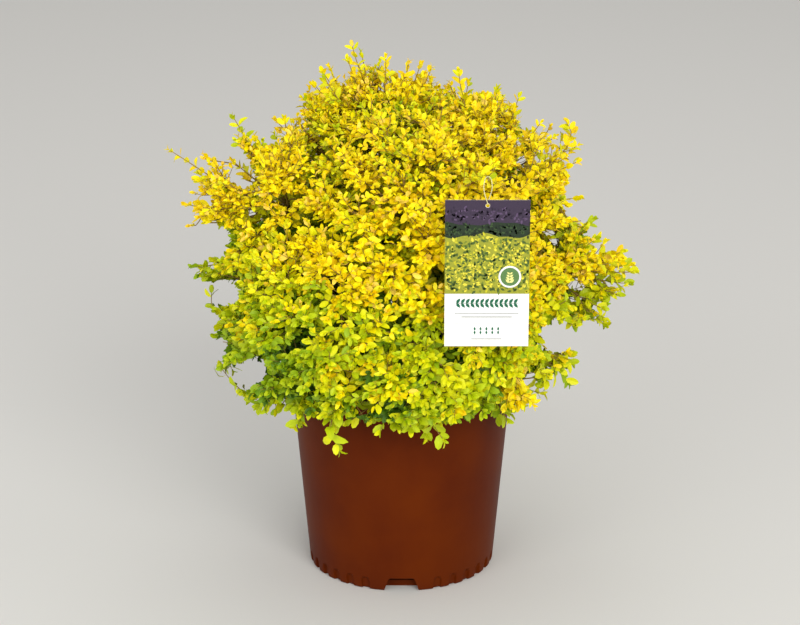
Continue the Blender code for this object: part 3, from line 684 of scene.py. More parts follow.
def bears_leaves(points):
    """True for each point that the leaves of ordinary twigs may reach."""
    return allowed(points) & ~in_hollow(points, LEAF_HOLLOW) & ~below_skirt(points, SKIRT_SLACK)


def are_open(mass, path, first, size):
    """True if a twig may pass through its path from this point on, with its last leaves beyond."""
    spots = np.array(path[first:])
    if mass.long_shoot:
        return bool(allowed(spots).all())
    leaf_end = path[-1] + (path[-1] - path[-2]).normalized() * size * TIP_SIZES[0]
    is_free = allowed(spots) & ~in_hollow(spots) & ~below_skirt(spots)
    return bool(is_free.all() and bears_leaves(np.array([leaf_end])).all())


def upward(point):
    """How much a twig's tip turns up at this point, below zero where it hangs."""
    return float(np.interp(point.z, (0.18, 0.26, 0.36, 0.50), (-0.55, -0.05, 0.45, 0.95)))


def outward(point):
    """The heading out of the crown at a point."""
    return (point - CROWN_CENTRE).normalized()


def leaf_length(point):
    """How long a leaf is at this point."""
    return float(np.interp(point.z, LEAF_HEIGHTS, LEAF_LENGTHS))


def scatter(rng, spread):
    """A small random vector."""
    return Vector([rng.gauss(0, spread) for _ in range(3)])


def along(path, share):
    """The point and the heading at a share of a path, whose points are evenly spaced."""
    place = min(max(share, 0), 0.9999) * (len(path) - 1)
    i = int(place)
    run = path[i + 1] - path[i]
    return path[i] + run * (place - i), run.normalized()


def run_length(path):
    """The length of a path."""
    return sum((b - a).length for a, b in zip(path, path[1:]))


def sides_of(way, number, rng):
    """The heading of one side of a leaf pair: crosswise to the last pair, and flatter on level twigs."""
    level = way.cross(Vector((0, 0, 1)))
    level = level.normalized() if level.length > 0.05 else way.orthogonal().normalized()
    upright = abs(way.z) ** 0.7
    turn = (number % 2) * math.pi / 2 * upright + rng.gauss(0, 0.35)
    return Matrix.Rotation(turn, 3, way) @ level


# Leaf colours on screen, from the sunniest to the most shaded, and a pale peach of some young tips in
# sunny sprays, partly young growth and partly a painted highlight
TONES = (
    ("amber", (240, 204, 4)),
    ("gold", (250, 222, 4)),
    ("bright", (255, 238, 6)),
    ("lemon", (246, 232, 10)),
    ("chartreuse", (222, 222, 10)),
    ("lime", (186, 202, 12)),
    ("spring", (150, 178, 18)),
    ("green", (110, 148, 22)),
    ("deep", (74, 110, 18)),
    ("young_tip_highlight", (254, 220, 80)),
)
SUNNY = 4
# The pale peach tone of young tips: partly young growth, partly a painted highlight
YOUNG_TIP_HIGHLIGHT = 9
DEEPEST = 8
SHADE_HEIGHTS = (0.18, 0.25, 0.32, 0.39, 0.58)
SHADE_AT_HEIGHTS = (0.39, 0.36, 0.26, 0.12, 0.05)
SHADE_TO_LEFT = 1.0
SHADE_LEFT_FROM, SHADE_LEFT_LEAST = 0.02, -0.02
SHADE_INSIDE = (0.38, 0.24)
SHADE_PATCHES = 0.20
PATCH_WIDTH = 0.045
INSIDE_FROM, INSIDE_TO = 1.8, 5.5

# Greener places of the crown's front: x and z at the pot's axis, reach, and the shade added there
GREEN_PLACES = (
    (-0.120, 0.238, 0.055, 0.15),
    (-0.134, 0.360, 0.024, 0.36),
    (-0.010, 0.447, 0.024, 0.44),
    (-0.077, 0.435, 0.024, 0.32),
    (-0.012, 0.482, 0.020, 0.30),
    (-0.036, 0.260, 0.020, 0.16),
    (-0.108, 0.311, 0.022, 0.20),
    (0.069, 0.221, 0.022, 0.20),
)


def greener_at(point):
    """How much shade the greener places of the crown's front add at a point."""
    if point.y > 0:
        return 0
    x, _, z = seen_at_axis(np.array([point]))[0]
    return sum(
        more * max(1 - math.hypot(x - place_x, z - place_z) / reach, 0)
        for place_x, place_z, reach, more in GREEN_PLACES
    )


def shade_at(point, rng):
    """How shaded a spray is, from 0, golden, to 1, deep green."""
    thick = density(np.array([point]))[0]
    inside = min(max((thick - INSIDE_FROM) / (INSIDE_TO - INSIDE_FROM), 0), 1)
    by_height = float(np.interp(point.z, SHADE_HEIGHTS, SHADE_AT_HEIGHTS))
    by_depth = inside * float(np.interp(point.z, (0.26, 0.40), SHADE_INSIDE))
    lean = SHADE_TO_LEFT * max(-point.x - SHADE_LEFT_FROM, SHADE_LEFT_LEAST) if point.z < 0.38 else 0
    patch = SHADE_PATCHES * noise.noise(point / PATCH_WIDTH)
    return by_height + by_depth + lean + patch + greener_at(point) + rng.gauss(0, 0.05)


def tone_for(shade, from_tip, rng):
    """The colour of one leaf in a spray of this shade."""
    # Some young tips of sunny sprays get the pale peach tone: partly young growth, partly a painted
    # highlight
    if from_tip < 2 and shade < 0.26 and rng.random() < 0.07:
        return YOUNG_TIP_HIGHLIGHT
    own = shade + rng.gauss(0, 0.06)
    if own < 0.26:
        return min(int(rng.triangular(0, SUNNY, 2.1)), SUNNY - 1)
    return int(min(SUNNY + (own - 0.26) / 0.60 * 5, DEEPEST))


def add_leaf(mass, root, way, face, length, from_tip, shade):
    """Notes one leaf for the mass's mesh."""
    rng = mass.rng
    width = length * rng.uniform(*LEAF_WIDTH_SHARE)
    fold = rng.uniform(0.10, 0.42)
    curl = rng.gauss(0.10, 0.10)
    tone = tone_for(shade, from_tip, rng)
    mass.leaves.append((*root, *way, *face, length, width, fold, curl, tone, mass.long_shoot))


def leafy(mass, path, first, spacing, size, shade):
    """Opposite pairs of leaves along a twig, smaller towards its tip, and a last upright pair."""
    rng = mass.rng
    run = run_length(path)
    tip_sizes = LONG_SHOOT_TIP_SIZES if mass.long_shoot else TIP_SIZES
    count = max(1, int(run * (1 - first) / spacing))
    for number in range(count):
        from_tip = count - 1 - number
        point, way = along(path, first + (1 - first) * (number + 0.6) / count)
        share = tip_sizes[from_tip] if from_tip < len(tip_sizes) else 1
        side = sides_of(way, number, rng)
        opening = math.radians(rng.uniform(44, 66) - (12 if from_tip == 0 else 0))
        face = outward(point) * 0.8 + Vector((0, 0, 0.5)) + scatter(rng, 0.30)
        if mass.long_shoot and point.y < REAR_FROM:
            face += LONG_SHOOT_FACING
        for sign in (-1, 1):
            heading = way * math.cos(opening) + side * sign * math.sin(opening) + scatter(rng, 0.10)
            length = size * share * rng.uniform(0.84, 1.14)
            add_leaf(mass, point, heading.normalized(), face, length, from_tip, shade)
    tip, way = path[-1], (path[-1] - path[-2]).normalized()
    side = sides_of(way, count, rng)
    for sign in (-1, 1):
        heading = (way + side * sign * 0.34 + scatter(rng, 0.05)).normalized()
        face = side * -sign + Vector((0, 0, 0.4))
        add_leaf(mass, tip, heading, face, size * tip_sizes[0] * rng.uniform(0.6, 0.9), 0, shade)


def add_side_shoots(mass, path, count, size, shade, first=0.22, last=0.86):
    """Short leafy shoots off both sides of a branchlet."""
    rng = mass.rng
    for number in range(count):
        share = first + (last - first) * (number + rng.uniform(0.2, 0.8)) / count
        root, way = along(path, share)
        side = sides_of(way, number // 2, rng) * (1 if number % 2 else -1)
        opening = math.radians(rng.uniform(34, 58))
        heading = way * math.cos(opening) + side * math.sin(opening)
        heading = (heading + Vector((0, 0, 0.25 * upward(root))) + scatter(rng, 0.10)).normalized()
        run = rng.uniform(*SIDE_RUN) * (1.15 - 0.5 * share)
        middle = root + heading * run * 0.5
        tip = middle + (heading + Vector((0, 0, 0.35 * upward(root)))).normalized() * run * 0.5
        shoot = [root, middle, tip]
        if not are_open(mass, shoot, 2, size):
            continue
        mass.twigs["side"].append(shoot)
        leafy(mass, shoot, 0.12, PAIR_SPACING * 0.85, size * rng.uniform(0.82, 1.0), shade)


def main_path(mass, tip, through=None):
    """The path of a main twig from beside the mass's centre to a tip, through a point if one is given."""
    run = tip - mass.centre
    way = run.normalized()
    root = mass.centre + way * mass.radius * SPRAY_ROOT_SHARE * 0.2
    if through:
        return bezier(root, Vector(through) * 2 - (root + tip) / 2, tip, MAIN_POINTS)
    bend = scatter(mass.rng, 0.10) - Vector((0, 0, 0.12 * upward(tip)))
    if mass.long_shoot and upward(tip) < 0:
        bend.z -= LOW_SHOOT_SAG
    leaving = root + (way + bend).normalized() * run.length * 0.38
    rise = 0.30 * upward(tip)
    if mass.long_shoot:
        rise = LONG_SHOOT_RISE if upward(tip) > 0 else LOW_TIP_RISE
    last = (way + outward(tip) * 0.3 + Vector((0, 0, rise))).normalized()
    return cubic(root, leaving, tip - last * run.length * 0.30, tip, MAIN_POINTS)


def add_main(mass, path, leaf_first, spacing, size, shade):
    """A main twig along a path, with leaves on its outer part."""
    mass.mains.append(path)
    mass.twigs["long" if mass.long_shoot else "main"].append(path)
    leafy(mass, path, leaf_first, spacing, size, shade)


def tip_towards(mass, point, share):
    """A place for a twig's tip, in from a point of the crown's surface by a share of the mass."""
    place = Vector(point)
    lump = 1 + LUMP_SHARE * noise.noise(place / LUMP_WIDTH)
    full = FULLNESS.get(mass.name, 1)
    inward = (mass.centre - place).normalized() + (CROWN_CENTRE - place).normalized()
    return place + inward.normalized() * mass.radius * (1 - share * lump * full)


def grow_mains():
    """Main twigs towards the crown's surface all round."""
    surface = crown_surface(even_headings(MAIN_TWIGS))
    for point, owner in zip(surface, owners(surface)):
        mass = all_masses[owner]
        tip = tip_towards(mass, point, mass.rng.uniform(0.82, 0.96))
        path = main_path(mass, tip)
        shade, size = shade_at(tip, mass.rng), leaf_length(tip)
        if are_open(mass, path, MAIN_POINTS // 2, size):
            add_main(mass, path, 0.55, PAIR_SPACING, size, shade)
            add_side_shoots(mass, path, 4, size, shade, 0.50, 0.9)


def grow_long_shoots():
    """The long shoots that the photograph shows beyond the crown's edge, and those behind."""
    by_name = {mass.name: mass for mass in all_masses}
    rows = [(*row, SHOOT_LEAFY, SHOOT_SIDES) for row in SHOOTS]
    rows += [(*row, SPRIG_LEAFY, SPRIG_SIDES) for row in (*SPRIGS, *rear_shoots())]
    for name, place, leafy_run, side_shoots in rows:
        leafy_run, side_shoots = SPARSE.get(place, (leafy_run, side_shoots))
        mass = by_name[name]
        mass.long_shoot = True
        way = (Vector(place) - mass.centre).normalized()
        size = leaf_length(Vector(place)) * LONG_SHOOT_LEAF_SHARE
        tip = Vector(place) - way * size * LONG_SHOOT_TIP_SIZES[0] * 0.8
        path = main_path(mass, tip, ARCHED.get(place))
        first = max(0.3, 1 - leafy_run / run_length(path))
        shade = shade_at(tip, mass.rng) + LONG_SHOOT_SHADE
        shade = min(max(shade, LONG_SHOOT_SHADES[0]), LONG_SHOOT_SHADES[1])
        add_main(mass, path, first, size * mass.rng.uniform(*SHOOT_SPACINGS), size, shade)
        last = first + (1 - first) * SHOOT_SIDES_TO
        add_side_shoots(mass, path, side_shoots, size, shade, first, last)
        mass.long_shoot = False


def rear_shoots():
    """Rows like those of SPRIGS for the side that the photograph doesn't show."""
    rng = random.Random(SEED)
    rows = []
    surface = crown_surface(even_headings(REAR_SHOOTS, turn=0.4))
    for point, owner in zip(surface, owners(surface)):
        if point[1] < REAR_SHOOTS_FROM or point[2] < REAR_LOWEST:
            continue
        place = Vector(point) + outward(Vector(point)) * rng.uniform(*REAR_STAND)
        low, high = Vector(cad_box[0]), Vector(cad_box[1])
        place = Vector([min(max(place[k], low[k]), high[k]) for k in range(3)])
        rows.append((all_masses[owner].name, tuple(place)))
    return rows


def grow_hook():
    """Leaves along the twig that the tag hangs from."""
    mass = next(one for one in all_masses if one.name == HOOK_MASS)
    path = smoothed(hook_points(mass)[:4], MAIN_POINTS)
    path = [Vector(point) for point in path]
    size, shade = leaf_length(path[-1]), shade_at(path[-1], mass.rng)
    leafy(mass, path, 0.25, PAIR_SPACING, size, shade)
    add_side_shoots(mass, path, 7, size, shade, 0.25, 0.95)


def leave_main(mass, tip):
    """Where a branchlet to this tip leaves a main twig of its mass: the point and the heading there."""
    best, found = None, None
    reach = (tip - mass.centre).length
    for path in mass.mains:
        for i in range(1, len(path) - 1):
            run = tip - path[i]
            if run.length < BRANCHLET_RUN or (path[i] - mass.centre).length > reach * 0.86:
                continue
            way = (path[i + 1] - path[i]).normalized()
            cost = run.length * (1.9 - run.normalized().dot(way))
            if best is None or cost < best:
                best, found = cost, (path[i], way)
    return found


def add_branchlet(mass, tip, side_shoots, more_shade, leaf_share=1.0):
    """A branchlet from a main twig to this tip, with its leaves and side shoots."""
    rng = mass.rng
    found = leave_main(mass, tip)
    if found is None:
        return
    start, way = found
    run = (tip - start).length
    last = (outward(tip) * 0.75 + Vector((0, 0, 0.55 * upward(tip))) + scatter(rng, 0.16)).normalized()
    path = cubic(start, start + way * run * 0.33, tip - last * run * 0.36, tip, BRANCHLET_POINTS)
    size = leaf_length(tip) * leaf_share
    if not are_open(mass, path, 1, size):
        return
    mass.twigs["branchlet"].append(path)
    shade = shade_at(tip, rng) + more_shade
    leafy(mass, path, max(0.25, 1 - 0.060 / run), PAIR_SPACING, size, shade)
    add_side_shoots(mass, path, side_shoots, size, shade + 0.04, max(0.20, 1 - 0.060 / run))


def grow_branchlets():
    """Branchlets in layers: near the crown's surface, further in, and a few that stand out."""
    rng = np.random.default_rng(SEED)
    for layer, (count, low, high, side_shoots, more_shade) in enumerate(LAYERS):
        ways = even_headings(count, turn=1.1 * (layer + 1))
        ways = unit(ways + rng.normal(0, HEADING_SCATTER, ways.shape))
        surface = crown_surface(ways)
        for point, owner in zip(surface, owners(surface)):
            mass = all_masses[owner]
            tip = tip_towards(mass, point, mass.rng.uniform(low, high))
            add_branchlet(mass, tip, side_shoots, more_shade)


def grow_inside():
    """Shaded twigs with larger leaves that fill the crown behind its surface."""
    for number, mass in enumerate(all_masses):
        for way in even_headings(INNER_TWIGS, turn=number):
            reach = mass.radius * mass.rng.uniform(*INNER_REACH)
            tip = mass.centre + Vector(way) * reach
            if density(np.array([tip]))[0] > INSIDE_FROM:
                add_branchlet(mass, tip, 3, INNER_SHADE, INNER_LEAF_SHARE)


def leaf_arrays(mass):
    """The vertices and faces of a mass's leaves, and the tone of each face."""
    rows = np.array(mass.leaves)
    root, way, face = rows[:, 0:3], unit(rows[:, 3:6]), rows[:, 6:9]
    length, width, fold, curl, tone, on_long_shoot = rows[:, 9:].T
    up = unit(face - way * (face * way).sum(-1, keepdims=True))
    side = np.cross(up, way)

    def spot(t, across):
        """The point of each leaf at a share of its length, and of its half width."""
        half = across * width / 2
        rise = abs(half) * fold + length * (curl * 0.6 * math.sin(math.pi * t) - curl * t * t)
        return root + way * (t * length)[:, None] + side * half[:, None] + up * rise[:, None]

    spots = [spot(0.0, 0.0)]
    for t, share in LEAF_STATIONS:
        spots += [spot(t, -share), spot(t, 0.0), spot(t, share)]
    spots.append(spot(1.0, 0.0))
    spots = np.stack(spots, 1)
    count, corners = spots.shape[:2]
    flat = spots.reshape(-1, 3)
    loose = np.repeat(on_long_shoot, corners) > 0
    keep = bears_leaves(flat) | loose & allowed(flat)
    keep = keep.reshape(count, corners).all(-1)
    spots, tone = spots[keep], tone[keep]
    first = (np.arange(len(spots)) * corners)[:, None, None]
    triangles = np.array(((0, 1, 2), (0, 2, 3), (7, 10, 8), (8, 10, 9)))
    quads = np.array(((1, 4, 5, 2), (2, 5, 6, 3), (4, 7, 8, 5), (5, 8, 9, 6)))
    faces = [(first + part[None]).reshape(-1, part.shape[1]) for part in (triangles, quads)]
    tones = [np.repeat(tone, 4), np.repeat(tone, 4)]
    return spots.reshape(-1, 3), faces, tones


def sharpen_midribs(data, corners):
    """Marks the edges along each leaf's midrib sharp, so that its halves catch the light apart."""
    ends = np.zeros(len(data.edges) * 2, np.int32)
    data.edges.foreach_get("vertices", ends)
    midrib = np.isin(ends.reshape(-1, 2) % corners, (0, 2, 5, 8, 10)).all(-1)
    sharp = data.attributes.new("sharp_edge", "BOOLEAN", "EDGE")
    sharp.data.foreach_set("value", midrib)


def twig_arrays(mass, kinds):
    """The vertices and faces of a mass's twigs of some kinds, and their tones."""
    points, faces, tones = [], [], []
    first = 0
    for tone, (kind, radii, sides) in enumerate(kinds):
        paths = np.array(mass.twigs[kind])
        if not len(paths):
            continue
        taper = np.linspace(*radii, paths.shape[1])[None].repeat(len(paths), 0)
        made, parts = tubes(paths, taper, sides)
        points.append(made)
        faces += [part + first for part in parts]
        tones += [np.full(len(part), min(tone, 1)) for part in parts]
        first += len(made)
    return np.concatenate(points), faces, tones


def dress_mass(mass, leaf_finishes, twig_finishes):
    """The leaves and the twigs of one mass, as two pieces in place of its node."""
    node = "foliage_" + mass.name
    points, faces, tones = leaf_arrays(mass)
    leaves = add_mesh("leaves_" + mass.name, points, faces, leaf_finishes, tones)
    sharpen_midribs(leaves.data, 2 + 3 * len(LEAF_STATIONS))
    finished(leaves, "foliage", node)
    mass.twigs["stem"] = [mass.stem_points()]
    kinds = [
        ("stem", (STEM_RADIUS, STEM_RADIUS * 0.9), 8),
        ("main", MAIN_RADII, 6),
        ("long", LONG_SHOOT_RADII, 5),
        ("branchlet", BRANCHLET_RADII, 4),
        ("side", SIDE_RADII, 3),
    ]
    if mass.name == HOOK_MASS:
        mass.twigs["hook"] = [hook_points(mass)]
        kinds.append(("hook", (HOOK_RADIUS, HOOK_RADIUS), 10))
    points, faces, tones = twig_arrays(mass, kinds)
    twigs = add_mesh("twigs_" + mass.name, points, faces, twig_finishes, tones)
    finished(twigs, "foliage", node)
    return len(leaves.data.polygons) // 8


def hook_points(mass):
    """The twig that the tag hangs from: out of its mass, then forward over the loop's seat."""
    seat = TAG_CENTRE + Vector((0, 0, TAG_HEIGHT / 2 - TAG_HOLE_DROP + LOOP_HEIGHT))
    inner = seat - HOOK_RUN * HOOK_LENGTH
    root = mass.centre.lerp(inner, HOOK_ROOT_SHARE)
    return [root, root.lerp(inner, 0.5), inner, seat, seat + HOOK_RUN * HOOK_OVERHANG]


def bark_relief(depth, grain):
    """A relief of long ridges and small lumps, as a function of a tube's vertices."""

    def stands_out(points):
        flat = points.reshape(-1, 3)
        out = []
        for x, y, z in flat:
            ridges = noise.noise(Vector((x / grain, y / grain, z / (grain * 5))))
            lumps = noise.noise(Vector((x, y, z)) / (grain * 0.5) + Vector((7, 3, 1)))
            out.append(depth * (0.7 * ridges + 0.3 * lumps))
        return np.array(out).reshape(points.shape[:3])

    return stands_out


def make_limbs(finish):
    """The trunk and the boughs, with the relief of their bark."""
    foot = SOIL_TOP + SOIL_CROWN
    heights = np.linspace(foot + TOUCH, TRUNK_TOP + TOUCH, 90)
    path = np.array([[trunk_centre(h) for h in heights]])
    radii = np.array([[trunk_radius(h) for h in heights]])
    points, faces = tubes(path, radii, 40, bark_relief(0.0005, 0.003))
    finished(add_mesh("trunk_bark", points, faces, [finish]), "bark", "trunk")
    steps = 40
    paths = np.array([smoothed(mass.bough_points(12), steps) for mass in all_masses])
    taper = np.linspace(BOUGH_FOOT_RADIUS, BOUGH_TIP_RADIUS, steps)[None].repeat(len(paths), 0)
    points, faces = tubes(paths, taper, 14, bark_relief(0.0003, 0.0022))
    nodes = ["bough_" + mass.name for mass in all_masses]
    finished(add_mesh("boughs_bark", points, faces, [finish]), "bark", *nodes)


def smoothed(path, count):
    """A path walked again with this many points, evenly spaced."""
    points = np.array(path)
    gone = np.concatenate([[0], np.cumsum(np.linalg.norm(np.diff(points, axis=0), axis=1))])
    walked = np.linspace(0, gone[-1], count)
    return np.stack([np.interp(walked, gone, points[:, k]) for k in range(3)], -1)


# The pot's finer shapes
POT_STEP = 3.0
FLUTE_FIRST = 22.5
FLUTE_STEP = 75 / 7
FLUTES_A_SECTOR = 8
FLUTE_HALF = 2.7
FLUTE_SIDES = (0.25, 0.62, 0.84, 0.98, 1.12)
FLUTE_HEIGHT = 0.0140
FLUTE_DEPTH = 0.0026
NOTCHES = 3
NOTCH_HEIGHT = 0.0155
NOTCH_FOOT_WIDTH = 0.038
NOTCH_TOP_WIDTH = 0.024
FLOOR = 0.0025
FLOOR_RISE = 0.004


def arc(centre, radius, start, end, count):
    """Points on a round corner of a profile, from one angle to another, in degrees."""
    angles = [math.radians(start + (end - start) * i / (count - 1)) for i in range(count)]
    return [(centre[0] + radius * math.cos(a), centre[1] + radius * math.sin(a)) for a in angles]


def wall_radius(height):
    """The outer radius of the pot's wall at this height."""
    share = height / (POT_HEIGHT - RIM_DEPTH)
    return BASE_RADIUS + (WALL_TOP_RADIUS - BASE_RADIUS) * share


def pot_profile():
    """The pot's section, from the underside's centre round the rim to the floor's centre."""
    foot_round, rim_round = 0.0025, 0.0016
    rim_foot = POT_HEIGHT - RIM_DEPTH
    rim_top = POT_HEIGHT - rim_round
    foot = arc((BASE_RADIUS - foot_round, foot_round), foot_round, -90, 0, 6)
    fluted = [(wall_radius(h), h) for h in np.arange(0.0035, FLUTE_HEIGHT + 0.002, 0.001)]
    wall = [(wall_radius(h), h) for h in np.linspace(0.03, rim_foot - 0.004, 3)]
    rim = [
        (WALL_TOP_RADIUS, rim_foot - 0.001),
        (WALL_TOP_RADIUS + 0.0006, rim_foot - 0.0002),
        (LIP_RADIUS - 0.0006, rim_foot + 0.0012),
        (LIP_RADIUS, rim_foot + 0.0022),
        (LIP_RADIUS, rim_foot + 0.006),
        *arc((LIP_RADIUS - rim_round, rim_top), rim_round, 0, 180, 9),
    ]
    inner = LIP_RADIUS - RIM_LIP - WALL
    inside = [(inner, rim_foot + 0.003), (inner, rim_foot)]
    floor_top = FLOOR_RISE + FLOOR
    floor = [
        (wall_radius(0.1) - WALL, 0.1),
        (wall_radius(floor_top + 0.003) - WALL, floor_top + 0.003),
        (wall_radius(floor_top) - WALL - 0.003, floor_top),
        (0.03, floor_top),
    ]
    under = [(0.030, 0), (0.034, FLOOR_RISE), (0.080, FLOOR_RISE), (0.084, 0)]
    return [*under, *foot, *fluted, *wall, *rim, *inside, *floor]


def pot_azimuths():
    """The azimuths of the pot's sections, crowded at the sides of each flute."""
    sector = 360 / NOTCHES
    azimuths = list(np.arange(0, FLUTE_FIRST - FLUTE_HALF * 1.2, POT_STEP))
    for number in range(FLUTES_A_SECTOR):
        middle = FLUTE_FIRST + number * FLUTE_STEP
        azimuths += [middle + side * share * FLUTE_HALF for share in FLUTE_SIDES for side in (-1, 1)]
        azimuths += [middle, middle + FLUTE_STEP / 2]
    azimuths += list(np.arange(sector - FLUTE_FIRST + FLUTE_HALF * 1.5, sector, POT_STEP))
    azimuths = np.unique(np.round(azimuths, 3))
    return np.concatenate([azimuths + sector * i for i in range(NOTCHES)])


def flute_depth(azimuths, heights):
    """How far the wall is pressed in by its flutes, at each azimuth and height."""
    sector = azimuths % (360 / NOTCHES)
    number = np.clip(np.round((sector - FLUTE_FIRST) / FLUTE_STEP), 0, FLUTES_A_SECTOR - 1)
    beside = abs(sector - FLUTE_FIRST - number * FLUTE_STEP) / FLUTE_HALF
    up = np.clip(heights / FLUTE_HEIGHT, 0, 1)
    arch = np.sqrt(np.maximum(0, 1 - np.maximum(0, up - 0.62) ** 2 / 0.38**2))
    return FLUTE_DEPTH * np.clip((arch * 0.99 - beside) / 0.16, 0, 1)


def make_pot(finish):
    """The moulded pot: a turned shell with a rolled rim, a fluted foot and drain notches."""
    profile = np.array(pot_profile())
    azimuths = pot_azimuths()
    rows, steps = len(profile), len(azimuths)
    radius = np.repeat(profile[:, :1], steps, 1)
    height = np.repeat(profile[:, 1:], steps, 1)
    on_foot = (radius > 0.09) & (height < FLUTE_HEIGHT)
    radius = radius - np.where(on_foot, flute_depth(azimuths[None], height), 0)
    turn = np.radians(azimuths)[None]
    points = np.stack([radius * np.sin(turn), -radius * np.cos(turn), height], -1).reshape(-1, 3)
    index = np.arange(rows * steps).reshape(rows, steps)
    after = np.roll(index, -1, axis=1)
    quads = np.stack([index[:-1], after[:-1], after[1:], index[1:]], -1).reshape(-1, 4)
    caps = np.stack([index[0, ::-1], index[-1]])
    pot = add_mesh("pot_shell", points, [quads, caps], [finish])
    cut_notches(pot)
    pot.data.set_sharp_from_angle(angle=math.radians(38))
    finished(pot, "pot_plastic", "pot")


def notch_outline():
    """The outline of a drain notch, with round upper corners."""
    corner = 0.004
    foot, top = NOTCH_FOOT_WIDTH / 2, NOTCH_TOP_WIDTH / 2
    right = [(foot, -0.01), (foot, -0.0005), (foot - 0.0006, 0.0009)]
    right += arc((top - corner * 0.35, NOTCH_HEIGHT - corner), corner, 25, 90, 6)
    return right + [(-x, z) for x, z in reversed(right)]


def cut_notches(pot):
    """Opens the drain notches through the wall and the floor's edge."""
    cutters = bpy.data.collections.new("notch_cutters")
    bpy.context.scene.collection.children.link(cutters)
    outline = notch_outline()
    for i in range(NOTCHES):
        bm = bmesh.new()
        near = [bm.verts.new((x, -BASE_RADIUS - 0.012, z)) for x, z in outline]
        far = [bm.verts.new((x, -BASE_RADIUS + 0.016, z)) for x, z in outline]
        bm.faces.new(near)
        bm.faces.new(reversed(far))
        for a, b, c, d in zip(near, near[1:] + near[:1], far[1:] + far[:1], far):
            bm.faces.new((b, a, d, c))
        bmesh.ops.recalc_face_normals(bm, faces=bm.faces)
        bmesh.ops.rotate(bm, verts=bm.verts, matrix=Matrix.Rotation(math.radians(120 * i), 3, "Z"))
        data = bpy.data.meshes.new("notch_cutter")
        bm.to_mesh(data)
        bm.free()
        cutters.objects.link(bpy.data.objects.new("notch_cutter", data))
    cut = pot.modifiers.new("Notches", "BOOLEAN")
    cut.operand_type = "COLLECTION"
    cut.collection = cutters
    cut.operation = "DIFFERENCE"
    cut.solver = "EXACT"
    bpy.context.view_layer.update()
    graph = bpy.context.evaluated_depsgraph_get()
    pot.data = bpy.data.meshes.new_from_object(pot.evaluated_get(graph))
    pot.modifiers.clear()
    for cutter in list(cutters.objects):
        bpy.data.objects.remove(cutter)
    bpy.data.collections.remove(cutters)


def make_chips(finish):
    """Bark chips and crumbs that lie on the potting mix."""
    rng = np.random.default_rng(SEED)
    count = 900
    reach = (LIP_RADIUS - 0.010) * np.sqrt(rng.uniform(0.012, 1, count))
    angle = rng.uniform(0, 2 * np.pi, count)
    rise = SOIL_TOP + SOIL_CROWN * (1 - (reach / LIP_RADIUS) ** 2)
    centres = np.stack([reach * np.cos(angle), reach * np.sin(angle), rise], -1)
    size = rng.uniform(0.0015, 0.0055, count)[:, None] * np.array((1.0, 0.55, 0.22))
    box = np.array([(x, y, z) for z in (-1, 1) for y in (-1, 1) for x in (-1, 1)]) * 0.5
    shapes = box[None] * size[:, None] * rng.uniform(0.6, 1.2, (count, 8, 3))
    spin = unit(rng.normal(0, 1, (count, 3)) * (0.25, 0.25, 1))
    turn = rng.uniform(0, 2 * np.pi, count)
    cos, sin = np.cos(turn)[:, None, None], np.sin(turn)[:, None, None]
    axis = spin[:, None]
    cross = np.cross(np.broadcast_to(axis, shapes.shape), shapes)
    onto = (shapes * axis).sum(-1, keepdims=True) * axis
    shapes = shapes * cos + cross * sin + onto * (1 - cos)
    points = (centres[:, None] + shapes).reshape(-1, 3)
    first = (np.arange(count) * 8)[:, None, None]
    sides = np.array(((0, 2, 3, 1), (4, 5, 7, 6), (0, 1, 5, 4), (2, 6, 7, 3), (0, 4, 6, 2), (1, 3, 7, 5)))
    faces = (first + sides[None]).reshape(-1, 4)
    finished(add_mesh("bark_chips", points, [faces], [finish], smooth=False), "potting_mix")


def loop_points(count):
    """The loop's centreline: through the tag's hole, up both faces, and over the hook twig."""
    low = TAG_HEIGHT / 2 - TAG_HOLE_DROP + TAG_HOLE_RADIUS - LOOP_RADIUS - TOUCH
    high = TAG_HEIGHT / 2 - TAG_HOLE_DROP + LOOP_HEIGHT + HOOK_RADIUS + LOOP_RADIUS + TOUCH
    middle, rise = (low + high) / 2, (high - low) / 2
    points = []
    for i in range(count):
        turn = 2 * math.pi * i / count
        up = middle - rise * math.cos(turn)
        share = (1 - math.cos(turn)) / 2
        width = math.copysign(abs(math.sin(turn)) ** LOOP_ROUNDNESS, math.sin(turn))
        twist = math.radians(90) * min(1, share * 1.4)
        across = LOOP_HALF_WIDTH * width * math.sin(twist)
        out = LOOP_HALF_WIDTH * width * math.cos(twist)
        points.append(TAG_CENTRE + Vector((across, out, up)))
    return points


def make_loop(finish):
    """The tag's tie: two fine strands twisted together in a closed ring."""
    count, turns, lay = 240, 22, 0.00022
    path = np.array(loop_points(count))
    ways = unit(np.roll(path, -1, 0) - np.roll(path, 1, 0))
    normal = unit(np.cross(ways, (0.2, 1, 0.1)))
    across = np.cross(ways, normal)
    points, faces = [], []
    for strand in range(2):
        turn = 2 * np.pi * (turns * np.arange(count) / count + strand / 2)
        line = path + lay * (normal * np.cos(turn)[:, None] + across * np.sin(turn)[:, None])
        ring = 2 * np.pi * np.arange(6) / 6
        tube = line[:, None] + (LOOP_RADIUS - lay) * (
            normal[:, None] * np.cos(ring)[None, :, None] + across[:, None] * np.sin(ring)[None, :, None]
        )
        index = np.arange(count * 6).reshape(count, 6) + strand * count * 6
        after, above = np.roll(index, -1, 1), np.roll(index, -1, 0)
        faces.append(np.stack([index, after, np.roll(above, -1, 1), above], -1).reshape(-1, 4))
        points.append(tube.reshape(-1, 3))
    loop = add_mesh("tag_tie", np.concatenate(points), [np.concatenate(faces)], [finish])
    finished(loop, "tag_cord", "tag_loop")


